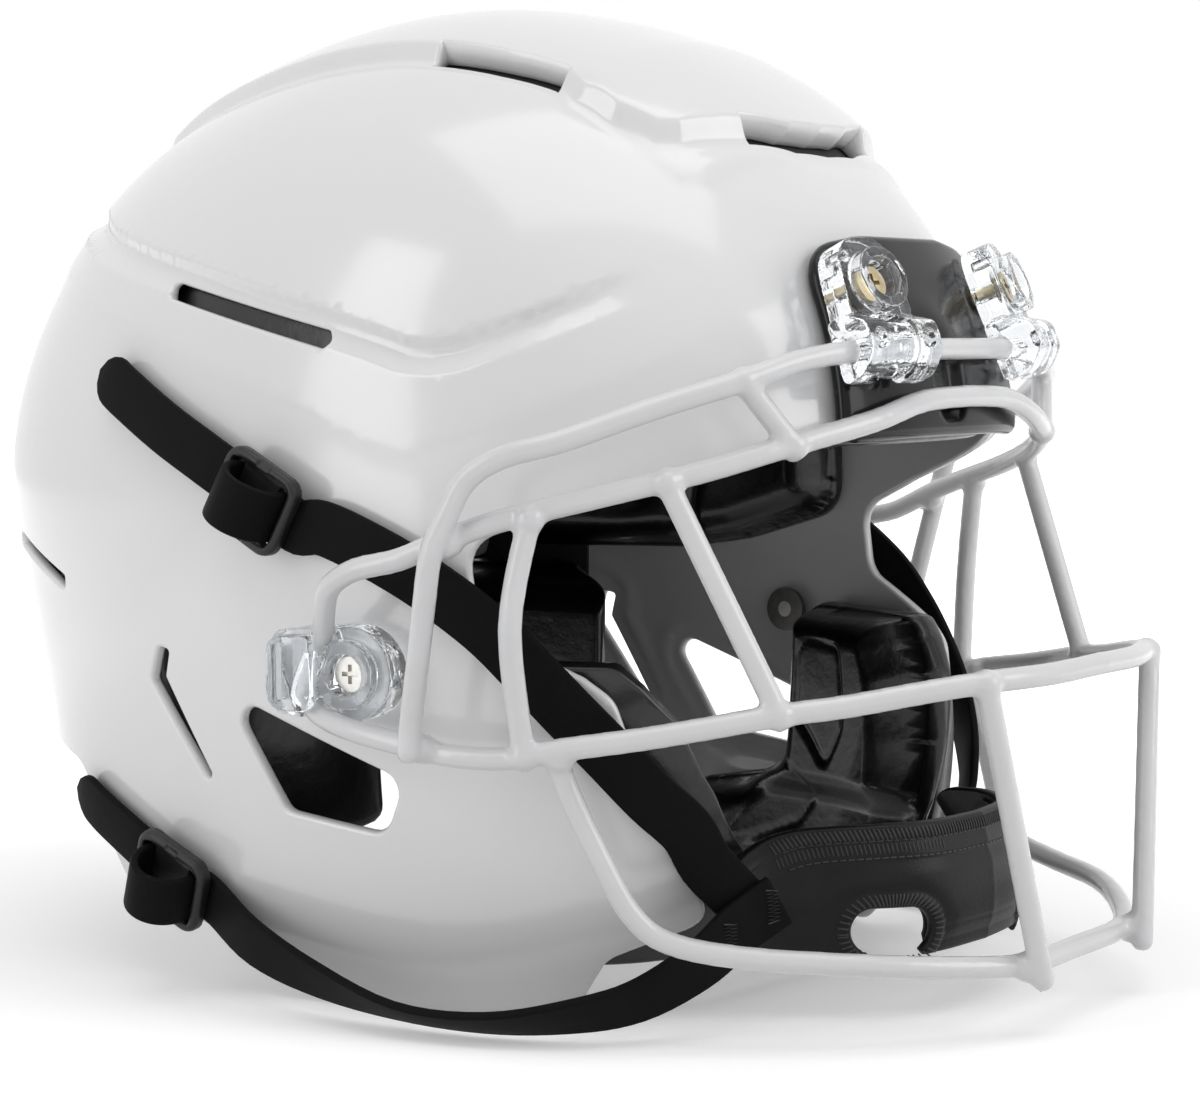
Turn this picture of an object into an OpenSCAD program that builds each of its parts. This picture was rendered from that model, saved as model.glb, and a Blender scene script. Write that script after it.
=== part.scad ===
// American football helmet: moulded shell with crown rib, bumper, wire face guard in four clips,
// liner and jaw pads, and a four-point chin strap on snap buckles.
// +Z up, -Y to the wearer's front, +X to the wearer's left. The shell stands on its jaw flaps at z = 0.

/* [Shell] */
// Half width of the shell over the ears
shell_half_w = 117; // [110:1:125]
// Reach of the shell behind the head centre
back_reach = 154; // [148:1:162]
// Rise of the crown over the head centre
crown_rise = 136; // [130:1:142]
// Reach of the brow in front of the head centre
brow_reach = 154; // [149:1:160]
// Radius of the jaw flaps below the head centre
jaw_reach = 180; // [176:1:186]
// Height of the head centre over the feet of the jaw flaps
flap_drop = 142; // [138:1:148]
// Wall of the shell
shell_wall = 4; // [3:0.5:5]
// Rise of the crown rib over the shell
rib_rise = 4; // [2:0.5:6]
// Half width of the crown rib
rib_half_w = 56; // [50:1:62]
// Depth of the channel along the sides
channel_depth = 1.8; // [1:0.2:2.2]

/* [Bumper and liner] */
// Thickness of the front bumper
bumper_t = 6; // [4:0.5:7]
// Half width of the bumper along its top
bumper_top = 44; // [40:1:48]
// Half width of the bumper along its bottom
bumper_foot = 50; // [46:1:54]
// Thickness of the liner cushions
liner_t = 17; // [12:1:20]
// Thickness of the jaw pads
jaw_pad_t = 34; // [28:1:40]

/* [Face guard] */
// Diameter of the coated wire
wire_d = 6.2; // [5.5:0.1:7]
// Gap between the shell and the guard at the temples
guard_gap = 20; // [16:1:26]
// Reach of the chin bars in front of the brow
guard_reach = 47; // [40:1:56]

/* [Clips and fasteners] */
// Width of a front clip
clip_w = 29; // [27:1:32]
// Height of a front clip
clip_h = 37; // [35:1:42]
// Length of a side clip
side_clip_l = 37; // [34:1:40]
// Width of a side clip
side_clip_w = 27; // [24:1:30]
// Diameter of the clip screws
screw_d = 5; // [4:0.5:6]
// Diameter of a screw's head
screw_head_d = 9.5; // [8:0.5:11]

/* [Chin strap] */
// Width of the straps
strap_w = 15; // [13:0.5:17]
// Thickness of the straps
strap_t = 2.4; // [1.8:0.2:3]
// Diameter of a snap's stud
stud_d = 8; // [7:0.5:10]
// Height of a snap's stud
stud_h = 3.4; // [3:0.2:5]
// Thickness of a buckle's frame
buckle_t = 4.2; // [3.5:0.1:5.5]
// Thickness of the chin cup
cup_t = 8; // [6:0.5:11]

/* [Hidden] */

head_y = 26;
head_z = flap_drop;
seat_gap = 0.3;
pad_gap = 1.5;
nut_gap = 1.5;
fit_gap = 0.05;
wire_r = wire_d / 2;

// Reach of the skin from the head centre by angle in side view: 0 is back, 90 up, 180 front
REACH = [[0, back_reach], [35, back_reach - 9], [70, crown_rise - 2.5], [105, crown_rise + 2],
         [135, brow_reach - 5.5], [165, brow_reach], [200, brow_reach + 2], [235, jaw_reach + 2],
         [270, jaw_reach], [300, jaw_reach - 12], [330, back_reach - 5]];
// How square the skin's sections are by the same angle: 2 is an ellipse
SQUARE = [[0, 2.3], [90, 2.25], [165, 2.6], [220, 3.1], [255, 3.9], [290, 3.6], [330, 2.6]];

// ---- lists and curves

function unit(v) = v / norm(v);
function flip(p) = [-p[0], p[1], p[2]];
function mix(a, b, s) = a + (b - a) * s;

// A smooth curve through points p, with n steps between neighbours
function bend(p, i, s) =
    let (a = p[max(i - 1, 0)], b = p[i], c = p[i + 1], d = p[min(i + 2, len(p) - 1)])
    (2 * b + (c - a) * s + (2 * a - 5 * b + 4 * c - d) * s * s
     + (3 * b - a - 3 * c + d) * s * s * s) / 2;
function smooth(p, n = 2) =
    concat([for (i = [0:len(p) - 2]) for (j = [0:n - 1]) bend(p, i, j / n)], [p[len(p) - 1]]);

// A smooth value by angle from a table that repeats every turn
function entry(t, i) =
    let (n = len(t), k = floor(i / n)) [t[i - n * k][0] + 360 * k, t[i - n * k][1]];
function slope(t, i) =
    let (a = entry(t, i - 1), b = entry(t, i + 1)) (b[1] - a[1]) / (b[0] - a[0]);
function find(t, q, i) = entry(t, i + 1)[0] <= q ? find(t, q, i + 1) : i;
function around(t, angle) =
    let (q = angle - 360 * floor(angle / 360), i = find(t, q, 0), a = entry(t, i),
         b = entry(t, i + 1), h = b[0] - a[0], s = (q - a[0]) / h,
         m0 = slope(t, i) * h, m1 = slope(t, i + 1) * h)
    a[1] + s * m0 + s * s * (3 * (b[1] - a[1]) - 2 * m0 - m1)
    + s * s * s * (2 * (a[1] - b[1]) + m0 + m1);

// Corner points [x, y, radius] with each corner turned into an arc
function rounded(c, steps = 5) =
    [for (i = [0:len(c) - 1])
        let (n = len(c), b = [c[i][0], c[i][1]],
             u = unit([c[(i + n - 1) % n][0], c[(i + n - 1) % n][1]] - b),
             v = unit([c[(i + 1) % n][0], c[(i + 1) % n][1]] - b),
             r = c[i][2], half = acos(u * v) / 2)
        each r == 0 ? [b] :
            let (m = b + unit(u + v) * r / sin(half), p = b + u * r / tan(half),
                 q = b + v * r / tan(half), a0 = atan2(p[1] - m[1], p[0] - m[0]),
                 d = atan2(q[1] - m[1], q[0] - m[0]) - a0,
                 turn = d > 180 ? d - 360 : d < -180 ? d + 360 : d)
            [for (k = [0:steps]) m + r * [cos(a0 + turn * k / steps), sin(a0 + turn * k / steps)]]];

// ---- the skin of the helmet

// A point of the skin: t runs from the right ear to the left one, a round the side view
function skin(t, a, off = 0) =
    let (r = around(REACH, a) + off, e = 2 / around(SQUARE, a), w = shell_half_w + off)
    [-w * sign(cos(t)) * pow(abs(cos(t)), e), r * pow(sin(t), e) * cos(a),
     r * pow(sin(t), e) * sin(a)];
// Below 0 inside the skin, above 0 outside
function level(q, off = 0) =
    let (a = atan2(q[2], q[1]), n = around(SQUARE, a))
    pow(norm([q[1], q[2]]) / (around(REACH, a) + off), n)
    + pow(abs(q[0]) / (shell_half_w + off), n) - 1;
// Where the line from p along d leaves the skin
function hit(p, d, off = 0, lo = 0, hi = 260, k = 26) =
    k == 0 ? p + lo * d :
    let (m = (lo + hi) / 2)
    level(p + m * d, off) < 0 ? hit(p, d, off, m, hi, k - 1) : hit(p, d, off, lo, m, k - 1);
function on_side(y, z, off = 0) = hit([0, y, z], [1, 0, 0], off);
function on_front(x, z, off = 0) = hit([x, 0, z], [0, -1, 0], off);
function normal(q) =
    unit([for (u = [[1, 0, 0], [0, 1, 0], [0, 0, 1]]) level(q + u / 2) - level(q - u / 2)]);

// Turns local z to the skin's normal at q and local x towards heading
module seat(q, heading) {
    n = normal(q);
    y = unit(cross(n, heading));
    x = cross(y, n);
    multmatrix([[x[0], y[0], n[0], q[0]], [x[1], y[1], n[1], q[1]], [x[2], y[2], n[2], q[2]],
                [0, 0, 0, 1]]) children();
}
module at_head() translate([0, head_y, head_z]) children();
module pair() {
    children();
    mirror([1, 0, 0]) children();
}

// ---- solids from surfaces and paths

// A closed solid between two surfaces that are functions of u and v, each from 0 to 1
module between(outer, inner, nu, nv) {
    w = nv + 1;
    m = (nu + 1) * w;
    points = concat([for (i = [0:nu]) for (j = [0:nv]) outer(i / nu, j / nv)],
                    [for (i = [0:nu]) for (j = [0:nv]) inner(i / nu, j / nv)]);
    top = [for (i = [0:nu - 1]) for (j = [0:nv - 1])
           let (a = i * w + j) each [[a, a + 1, a + w + 1], [a, a + w + 1, a + w]]];
    bottom = [for (f = top) [f[2] + m, f[1] + m, f[0] + m]];
    edge = concat([for (j = [0:nv - 1]) j], [for (i = [0:nu - 1]) i * w + nv],
                  [for (j = [nv:-1:1]) nu * w + j], [for (i = [nu:-1:1]) i * w]);
    side = [for (k = [0:len(edge) - 1])
            let (a = edge[k], b = edge[(k + 1) % len(edge)])
            each [[b, a, a + m], [b, a + m, b + m]]];
    polyhedron(points, concat(top, bottom, side));
}

// The closed egg that the skin is, at an offset
module egg(off, nt = 20, na = 44) {
    points = concat([skin(0, 0, off)],
                    [for (i = [1:nt - 1]) for (j = [0:na - 1]) skin(180 * i / nt, 360 * j / na, off)],
                    [skin(180, 0, off)]);
    last = len(points) - 1;
    caps = [for (j = [0:na - 1]) let (k = (j + 1) % na)
            each [[0, 1 + j, 1 + k], [last, last - na + k, last - na + j]]];
    walls = [for (i = [0:nt - 3]) for (j = [0:na - 1])
             let (a = 1 + i * na + j, b = 1 + i * na + (j + 1) % na)
             each [[a, b + na, b], [a, a + na, b + na]]];
    polyhedron(points, concat(caps, walls));
}

// A band of rings swept along frames [point, across, up], each ring given by shape in that frame
module sweep(frames, shape) {
    n = len(shape);
    m = len(frames);
    points = [for (f = frames) for (s = shape) f[0] + s[0] * f[1] + s[1] * f[2]];
    walls = [for (i = [0:m - 2]) for (j = [0:n - 1])
             let (a = i * n + j, b = i * n + (j + 1) % n)
             each [[a, b + n, b], [a, a + n, b + n]]];
    polyhedron(points, concat([[for (j = [0:n - 1]) j]], walls,
                              [[for (j = [n - 1:-1:0]) (m - 1) * n + j]]));
}

// Frames [point, across, up] along a path; from and to set the directions of its two ends
function frames(path, from = undef, to = undef) =
    let (last = len(path) - 1,
         t = [for (i = [0:last])
              i == 0 && !is_undef(from) ? unit(from) : i == last && !is_undef(to) ? unit(to) :
              unit(path[min(i + 1, last)] - path[max(i - 1, 0)])],
         start = unit(cross(t[0], abs(t[0][2]) > 0.9 ? [0, 1, 0] : [0, 0, 1])),
         across = [for (i = 0, n = start; i <= last;
                        i = i + 1, n = i <= last ? unit(n - (n * t[i]) * t[i]) : n) n])
    [for (i = [0:last]) [path[i], across[i], cross(t[i], across[i])]];
// Frames of a bar from the middle of the front, carried over to the other side
function both_ways(path, to = undef) =
    let (half = frames(smooth(path), from = [1, 0, 0], to = to))
    concat([for (i = [len(half) - 1:-1:1]) [for (v = half[i]) flip(v)]], half);
module wire(frames, d = wire_d, sides = 8) {
    sweep(frames, [for (k = [0:sides - 1])
                   d / 2 * [cos(360 * (k + 0.5) / sides), sin(360 * (k + 0.5) / sides)]]);
}

// A flat strap along stations: a point, the way its face looks, and its share of the full width
module strap(stations) {
    last = len(stations) - 1;
    sweep([for (i = [0:last])
           let (s = stations[i], a = stations[max(i - 1, 0)][0], b = stations[min(i + 1, last)][0],
                along = unit(b - a), across = unit(cross(s[1], along)))
           [s[0], across * s[2], cross(along, across)]],
          [for (c = [[-1, -1], [1, -1], [1, 1], [-1, 1]]) [c[0] * strap_w / 2, c[1] * strap_t / 2]]);
}

// ---- shell

// Side view of the shell, as corners with their radii: brow, temple, jaw flap, foot, nape
OUTLINE = [[-230, 30, 0], [-150, 17, 30], [-94, -3, 30], [-72, -13, 9], [-75, -33, 9],
           [-102, -47, 6], [-109, -53, 10], [-116, -80, 40], [-121.5, -115, 8],
           [-100, -125, 10], [-88, -flap_drop, 8], [-14, -flap_drop, 14], [14, -126, 30],
           [56, -117, 10], [72, -82, 12], [130, -72, 40], [230, -70, 0], [230, 230, 0],
           [-230, 230, 0]];

// A solid of a side-view outline, from one side of the helmet to the other
module across_head(points) {
    rotate([90, 0, 90]) linear_extrude(400, center = true) polygon(points);
}

// One slot with round ends, as points in side view, through both walls
module side_slot(points, r) {
    hull() for (p = points) translate([0, p[0], p[1]])
        rotate([0, 90, 0]) cylinder(r = r, h = 400, center = true, $fn = 14);
}

// The channel is a V in side view, from the back of the shell to the temples
CHANNEL_TOP = [[170, 101], [58, 62], [-55, 38], [-84, 47], [-116, 64]];
CHANNEL_W = 7.5;
function channel_outline() =
    concat(CHANNEL_TOP, [for (i = [len(CHANNEL_TOP) - 1:-1:0]) CHANNEL_TOP[i] - [0, CHANNEL_W]]);

// Half of the crown rib in plan, from the brow backwards
RIB = [[0, -120], [24, -119], [rib_half_w - 4, -111], [rib_half_w + 2, -99], [rib_half_w, -60],
       [rib_half_w - 2, 0], [rib_half_w - 8, 60], [rib_half_w - 18, 104], [0, 112]];
function rib_outline(grow) =
    let (half = [for (p = RIB) [p[0] == 0 ? 0 : p[0] + grow, p[1] + (p[1] < 0 ? -grow : grow)]])
    concat(half, [for (i = [len(half) - 2:-1:1]) [-half[i][0], half[i][1]]]);

brow_vent = on_front(0, 103);
crown_vent_x = rib_half_w + 1;

module vents() {
    // long slot in the channel
    side_slot([[-27, 41], [33, 56.5]], 2.3);
    // slot at the back
    side_slot([[78, -29], [108, -18.5]], 1.6);
    // hooked slot behind the ear, in two strokes
    side_slot([[14, -79], [33, -52]], 1.5);
    side_slot([[33, -52], [30, -47]], 2);
    // ear opening
    side_slot([[5, -58], [-48, -78], [-43, -88], [-14, -84]], 3);
    // crown vents along the rib's edges
    pair() hull() for (y = [-66, -30])
        translate([crown_vent_x - 2, y, 100]) cylinder(r = 3.5, h = 60, $fn = 16);
    // brow vent in front of the rib
    hull() for (x = [-32, 32])
        translate([x, -107, 104]) rotate([55, 0, 0]) cylinder(r = 2.2, h = 40, center = true, $fn = 14);
}

module rib() {
    intersection() {
        egg(rib_rise);
        hull() {
            linear_extrude(1) polygon(rib_outline(3));
            translate([0, 0, 200]) linear_extrude(1) polygon(rib_outline(-3));
        }
    }
}

module channel() {
    intersection() {
        difference() {
            egg(8);
            egg(-channel_depth);
        }
        across_head(channel_outline());
    }
}

module fastener_holes(r) {
    pair() {
        for (s = [side_clip_q, upper_stud_q, lower_stud_q])
            seat(s, [0, -1, 0]) cylinder(r = r, h = 40, center = true, $fn = 12);
        seat(front_screw_q, [0, 0, 1]) cylinder(r = r, h = 40, center = true, $fn = 12);
    }
}

module shell() {
    color("white") at_head() difference() {
        intersection() {
            difference() {
                union() {
                    egg(0);
                    rib();
                }
                channel();
                egg(-shell_wall, 16, 34);
            }
            across_head(rounded(OUTLINE));
        }
        vents();
        fastener_holes(screw_d / 2 + seat_gap);
    }
}

// ---- bumper and liner

// Height of the shell's brow edge at a depth
function brow_edge(y) =
    let (a = OUTLINE[y < OUTLINE[1][0] ? 0 : 1], b = OUTLINE[y < OUTLINE[1][0] ? 1 : 2])
    mix(a[1], b[1], (y - a[0]) / (b[0] - a[0]));
// A point of the brow at a share of the way up the bumper, from under the brow edge
function on_brow(x, share, below, off) =
    let (edge = brow_edge(on_front(x, 14, off)[1]) - below)
    on_front(x, mix(edge, bumper_top_z, share), off);
// Rows of the bumper from its top to its lip: [share, below and offset outside, the same inside]
BUMPER = [[[1, 0, 2.5], [1, 0, seat_gap]], [[0.95, 0, bumper_t - 1], [0.95, 0, seat_gap]],
          [[0.87, 0, bumper_t], [0.87, 0, seat_gap]], [[0.6, 0, bumper_t], [0.6, 0, seat_gap]],
          [[0.3, 0, bumper_t], [0.3, 0, seat_gap]],
          [[0, 0.5, bumper_t - 0.6], [0, seat_gap, seat_gap]],
          [[0, 3.4, bumper_t - 3], [0, seat_gap, -shell_wall]]];
bumper_top_z = 66;
function bumper_face(u, v, side) =
    let (row = BUMPER[round(v * (len(BUMPER) - 1))][side],
         x = (1 - 2 * u) * mix(bumper_foot, bumper_top, row[0]),
         bevel = side == 0 && (u == 0 || u == 1) ? 3 : 0)
    on_brow(x, row[0], row[1], row[2] - bevel);

module front_bumper() {
    color("black") at_head() difference() {
        between(function(u, v) bumper_face(u, v, 0), function(u, v) bumper_face(u, v, 1), 14,
                len(BUMPER) - 1);
        pair() seat(front_screw_q, [0, 0, 1])
            cylinder(r = screw_d / 2 + seat_gap, h = 60, center = true, $fn = 24);
    }
}

// A cushion against the inside of the shell, crowned towards the head
function crown_of(u, v) = pow(sin(180 * u) * sin(180 * v), 0.3);
module cushion(t, a, thick, nu, nv) {
    between(function(u, v) skin(mix(t[1], t[0], u), mix(a[0], a[1], v), -shell_wall - pad_gap),
            function(u, v) skin(mix(t[1], t[0], u), mix(a[0], a[1], v),
                                -shell_wall - pad_gap - thick * mix(0.45, 1, crown_of(u, v))),
            nu, nv);
}

module brow_pad() {
    color("black") at_head() difference() {
        cushion([56, 124], [140, 176], liner_t, 10, 5);
        pair() seat(front_screw_q, [0, 0, 1])
            translate([0, 0, -shell_wall - 8]) cylinder(r = 8.5, h = 12, $fn = 32);
    }
}
module crown_pad() {
    color("dimgray") at_head() cushion([69, 111], [62, 128], liner_t, 7, 6);
}
module back_pad() {
    color("dimgray") at_head() cushion([54, 126], [-22, 44], liner_t, 8, 6);
}
module side_pad_left() {
    pad_y = [-66, 62];
    pad_z = [-30, 74];
    color("black") at_head() difference() {
        between(function(u, v) on_side(mix(pad_y[0], pad_y[1], u), mix(pad_z[0], pad_z[1], v),
                                       -shell_wall - pad_gap),
                function(u, v) on_side(mix(pad_y[0], pad_y[1], u), mix(pad_z[0], pad_z[1], v),
                                       -shell_wall - pad_gap
                                       - liner_t * mix(0.45, 1, crown_of(u, v))), 8, 6);
        for (q = [upper_stud_q, side_clip_q])
            seat(q, [0, -1, 0]) translate([0, 0, -shell_wall - 8]) cylinder(r = 8.5, h = 12, $fn = 32);
    }
}
module side_pad_right() mirror([1, 0, 0]) side_pad_left();

// The jaw pad fills the flap and stands a little in front of it, more so on the inside
module jaw_pad_left() {
    function place(u, v) =
        on_side(mix(mix(-117, -126, sin(180 * v)), -62, u), mix(-103, -32, v),
                -shell_wall - pad_gap);
    color("black") at_head()
        between(function(u, v) place(u, v),
                function(u, v) place(u, v) - [jaw_pad_t * mix(0.35, 1, crown_of(u, v)),
                                              8 * (1 - u) * sin(180 * v), 0], 7, 6);
}
module jaw_pad_right() mirror([1, 0, 0]) jaw_pad_left();

// ---- face guard, as half wires from the middle of the front to the left side

side_x = shell_half_w + guard_gap;
front_y = -brow_reach - guard_reach;
brow_bar_y = -brow_reach - 5;
chin_z = -flap_drop + 18;

LOOP = [[side_x - 1, -46, -23], [side_x - 6, -40, -31], [side_x - 12, -35, -39],
        [side_x - 13, -31, -47]];
TOP_BAR = [[0, brow_bar_y, 39], [30, brow_bar_y, 39], [54, brow_bar_y + 3, 38.5],
           [72, brow_bar_y + 9, 36], [89, brow_bar_y + 16, 31], [108, -128, 24],
           [side_x - 13, -111, 16], [side_x - 6, -98, 12], [side_x - 2.5, -89, 6],
           [side_x - 0.5, -84.5, -3], [side_x + 1.5, -81, -12], [side_x + 0.5, -78, -25],
           [side_x - 1, -75, -39], [side_x - 3, -71, -56], [side_x - 3, -70, -66]];
EYE_BAR = concat([[0, brow_bar_y - 4, 26], [25, brow_bar_y - 3, 25], [48, brow_bar_y, 20],
                  [76, brow_bar_y + 10, 14], [96, -136, 8], [114, -117, 2],
                  [side_x - 10.5, -96, -4], [side_x - 5.5, -82, -9], [side_x - 2, -68, -15],
                  [side_x - 0.5, -55, -18]], LOOP);
MID_BAR = concat([[0, front_y - 2, -46], [27, front_y, -46.5], [50, front_y + 7, -47],
                  [65, front_y + 18, -49], [79, front_y + 32, -52], [91, -156, -54],
                  [103, -142, -57], [112, -127, -60], [120, -109, -63], [side_x - 13, -94, -66],
                  [side_x - 10, -78, -66], [side_x - 9.5, -62, -64], [side_x - 9.5, -46, -61.5],
                  [side_x - 11, -34, -58], [side_x - 13, -29, -53.5]], [LOOP[3]]);
JAW_BAR = [[0, front_y + 4, chin_z], [31, front_y + 5, chin_z], [54, front_y + 15, chin_z + 2],
           [76, front_y + 32, chin_z + 4.5], [92, front_y + 55, chin_z + 6.5],
           [101, front_y + 72, chin_z + 10], [107, front_y + 80, chin_z + 18],
           [112, -114, -90], [115, -108, -76], [117.5, -105, -66]];
loop_way = LOOP[3] - LOOP[2];
top_bar = both_ways(TOP_BAR);
eye_bar = both_ways(EYE_BAR, to = loop_way);
mid_bar = both_ways(MID_BAR, to = -loop_way);
jaw_bar = both_ways(JAW_BAR);

// The point of a bar that is nearest to q
function nearest(bar, q) = let (d = [for (f = bar) norm(f[0] - q)]) bar[search(min(d), d)[0]][0];
// A strut that ends inside the wires it joins, a little short of their middles
function strut(a, b) = let (s = 2 * unit(b - a)) [a + s, b - s];
EYE_STRUT = strut(nearest(eye_bar, [104, -130, 5.5]), nearest(mid_bar, [91, -156, -54]));
SIDE_STRUT = [nearest(eye_bar, [side_x - 12, -102, -4]), [side_x - 9, -98, -32],
              nearest(mid_bar, [side_x - 14, -99, -65])];
BROW_STRUT = strut(nearest(top_bar, [88, brow_bar_y + 16, 31]),
                   nearest(eye_bar, [74, brow_bar_y + 9, 14]));
FRONT_POST = [[52, front_y + 6, -47], [32, front_y - 1.5, chin_z - 5]];

// The stretch of a bar round a point, thicker than its wire by twice the gap
module stretch(bar, q, reach, gap) {
    wire([for (f = bar) if (norm(f[0] - q) < reach) f], wire_d + 2 * gap);
}
// The seat of a welded end on a bar at q
module weld(bar, q) stretch(bar, q, 17, fit_gap);

module mask_eye_bar() color("gainsboro") at_head() wire(eye_bar);
module mask_mid_bar() color("gainsboro") at_head() wire(mid_bar);
module mask_top_bar() {
    color("gainsboro") at_head() difference() {
        wire(top_bar);
        pair() weld(eye_bar, [side_x - 4, -82, -10]);
        pair() weld(mid_bar, [side_x - 9.5, -70, -65]);
    }
}
module mask_jaw_bar() {
    color("gainsboro") at_head() difference() {
        wire(jaw_bar);
        pair() weld(mid_bar, JAW_BAR[len(JAW_BAR) - 1]);
    }
}
module mask_front_posts() {
    color("gainsboro") at_head() pair() difference() {
        wire(frames(FRONT_POST));
        weld(mid_bar, FRONT_POST[0]);
        weld(jaw_bar, FRONT_POST[1]);
    }
}
module mask_eye_struts() {
    color("gainsboro") at_head() pair() difference() {
        wire(frames(EYE_STRUT));
        weld(eye_bar, EYE_STRUT[0]);
        weld(mid_bar, EYE_STRUT[1]);
    }
}
module mask_side_struts() {
    color("gainsboro") at_head() pair() difference() {
        wire(frames(smooth(SIDE_STRUT, 4)));
        weld(eye_bar, SIDE_STRUT[0]);
        weld(mid_bar, SIDE_STRUT[2]);
    }
}
module mask_brow_struts() {
    color("gainsboro") at_head() pair() difference() {
        wire(frames(BROW_STRUT));
        weld(top_bar, BROW_STRUT[0]);
        weld(eye_bar, BROW_STRUT[1]);
    }
}

// ---- clips

front_screw_q = on_front(37, 51);
side_clip_q = on_side(-43, -47);
front_clip_base = bumper_t + seat_gap;
front_clip_t = 15;
side_clip_t = 15.5;
nut_d = 14;
nut_t = 3;

shank = shell_wall + nut_t + nut_gap;
// Pan head with a cross recess, and a plain shank down to the nut
module screw(top) {
    difference() {
        union() {
            translate([0, 0, -shank]) cylinder(d = screw_d, h = top + shank, $fn = 24);
            translate([0, 0, top]) cylinder(d = screw_head_d, h = 2.6, $fn = 32);
        }
        for (a = [0, 90]) rotate([0, 0, a])
            translate([-2.6, -0.6, top + 1.2]) cube([5.2, 1.2, 2]);
    }
}
module nut(d = nut_d) {
    // washer-faced barrel nut inside the shell
    translate([0, 0, -shell_wall - nut_t - nut_gap]) difference() {
        union() {
            cylinder(d = d, h = nut_t - 1.2, $fn = 40);
            cylinder(d = d - 5, h = nut_t, $fn = 32);
        }
        translate([0, 0, -1]) cylinder(d = screw_d + 2 * fit_gap, h = nut_t + 2, $fn = 24);
    }
}

// Front clip: a block with a waist, a screw well above and a saddle over the top bar below
module front_clip_left() {
    w = clip_w / 2;
    drop = clip_h - 14;
    color("aliceblue", 0.5) at_head() difference() {
        seat(front_screw_q, [0, 0, 1]) translate([0, 0, front_clip_base]) {
            linear_extrude(front_clip_t - 6) polygon(rounded([
                [14, w - 2, 9], [14, 2 - w, 9], [-6, 3 - w, 12], [-drop, -w, 12], [-drop, w, 12],
                [-6, w - 3, 12]]));
            translate([0, 0, 0.1]) linear_extrude(front_clip_t) polygon(rounded([
                [-7, w - 4, 5], [-7, 4 - w, 5], [2 - drop, 2 - w, 8.5], [2 - drop, w - 2, 8.5]]));
        }
        stretch(top_bar, [40, brow_bar_y, 39], 30, seat_gap);
        seat(front_screw_q, [0, 0, 1]) {
            cylinder(d = screw_d + 2 * fit_gap, h = 60, center = true, $fn = 24);
            translate([0, 0, front_clip_base + front_clip_t - 9])
                cylinder(d = screw_head_d + 2, h = 20, $fn = 32);
        }
    }
}
module front_clip_right() mirror([1, 0, 0]) front_clip_left();
module front_clip_screws() {
    color("silver") at_head() pair() seat(front_screw_q, [0, 0, 1])
        screw(front_clip_base + front_clip_t - 9);
}
module front_clip_nuts() {
    color("silver") at_head() pair() seat(front_screw_q, [0, 0, 1]) nut();
}

// The guard's loop on the left side, from the eye bar round into the mid bar
hook = concat([for (f = eye_bar) if (f[0][0] > 0 && f[0][1] > LOOP[0][1] - 10) f[0]],
              [for (i = [len(mid_bar) - 2:-1:len(mid_bar) - 14]) mid_bar[i][0]]);
// Side clip: hooks the loop of the guard from behind
module side_clip_left() {
    l = side_clip_l;
    w = side_clip_w / 2;
    color("aliceblue", 0.5) at_head() difference() {
        seat(side_clip_q, [0, 1, 0]) translate([0, 0, seat_gap]) {
            linear_extrude(side_clip_t - 5) polygon(rounded([
                [l - 13, w - 2, 6], [l - 13, 2 - w, 6], [0, -w, 8], [-13, -w, 8], [-13, w, 8], [0, w, 8]]));
            translate([0, 0, 0.1]) linear_extrude(side_clip_t) polygon(rounded([
                [l - 15, w - 4, 6], [l - 15, 4 - w, 6], [-2, 3 - w, 8], [-2, w - 3, 8]]));
        }
        wire(frames(hook), wire_d + 3 * seat_gap);
        seat(side_clip_q, [0, 1, 0]) {
            cylinder(d = screw_d + 2 * fit_gap, h = 60, center = true, $fn = 24);
            translate([0, 0, side_clip_t - 9])
                cylinder(d = screw_head_d + 2, h = 20, $fn = 32);
        }
    }
}
module side_clip_right() mirror([1, 0, 0]) side_clip_left();
module side_clip_screws() {
    color("silver") at_head() pair() seat(side_clip_q, [0, 1, 0]) screw(side_clip_t - 9);
}
module side_clip_nuts() {
    color("silver") at_head() pair() seat(side_clip_q, [0, 1, 0]) nut();
}

// ---- snaps, buckles and straps

// The chin cup swings about a line behind its wings, where the straps pull
swing_y = front_y + 93;
swing_z = chin_z + 12;
cup_h = 36;
// Half of the cup in plan: how far out, and how far in front of the swing line
CUP = [[0, 64], [24, 60.5], [40, 49], [49, 36], [56, 27.5], [66, 21.5]];

upper_stud_q = on_side(-10, -2);
lower_stud_q = on_side(26, -109);
upper_way = [0, -0.88, -0.48];
lower_way = [0, -0.91, -0.41];
stud_base_t = 1.2;
socket_d = 14;
socket_t = stud_h - 0.6;
buckle_l = 27;
buckle_w = strap_w + 9;
buckle_z = stud_base_t + socket_t + 2 * seat_gap;
slot_s = 8.8;
slot_w = strap_t + 1.4;
strap_lift = buckle_z - strap_t / 2 - seat_gap;
strap_foot = socket_d / 2 + 0.7;
loop_rise = 10;

module studs() {
    pair() for (s = [[upper_stud_q, upper_way], [lower_stud_q, lower_way]]) seat(s[0], s[1]) {
        translate([0, 0, fit_gap]) cylinder(d = socket_d, h = stud_base_t, $fn = 40);
        cylinder(d = stud_d, h = stud_base_t + stud_h, $fn = 40);
        translate([0, 0, -shank]) cylinder(d = screw_d, h = shank + 1, $fn = 24);
    }
}
module snap_studs() color("silver") at_head() studs();
module snap_stud_nuts() {
    color("silver") at_head() pair() for (q = [upper_stud_q, lower_stud_q])
        seat(q, [0, 1, 0]) nut(12);
}

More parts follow.
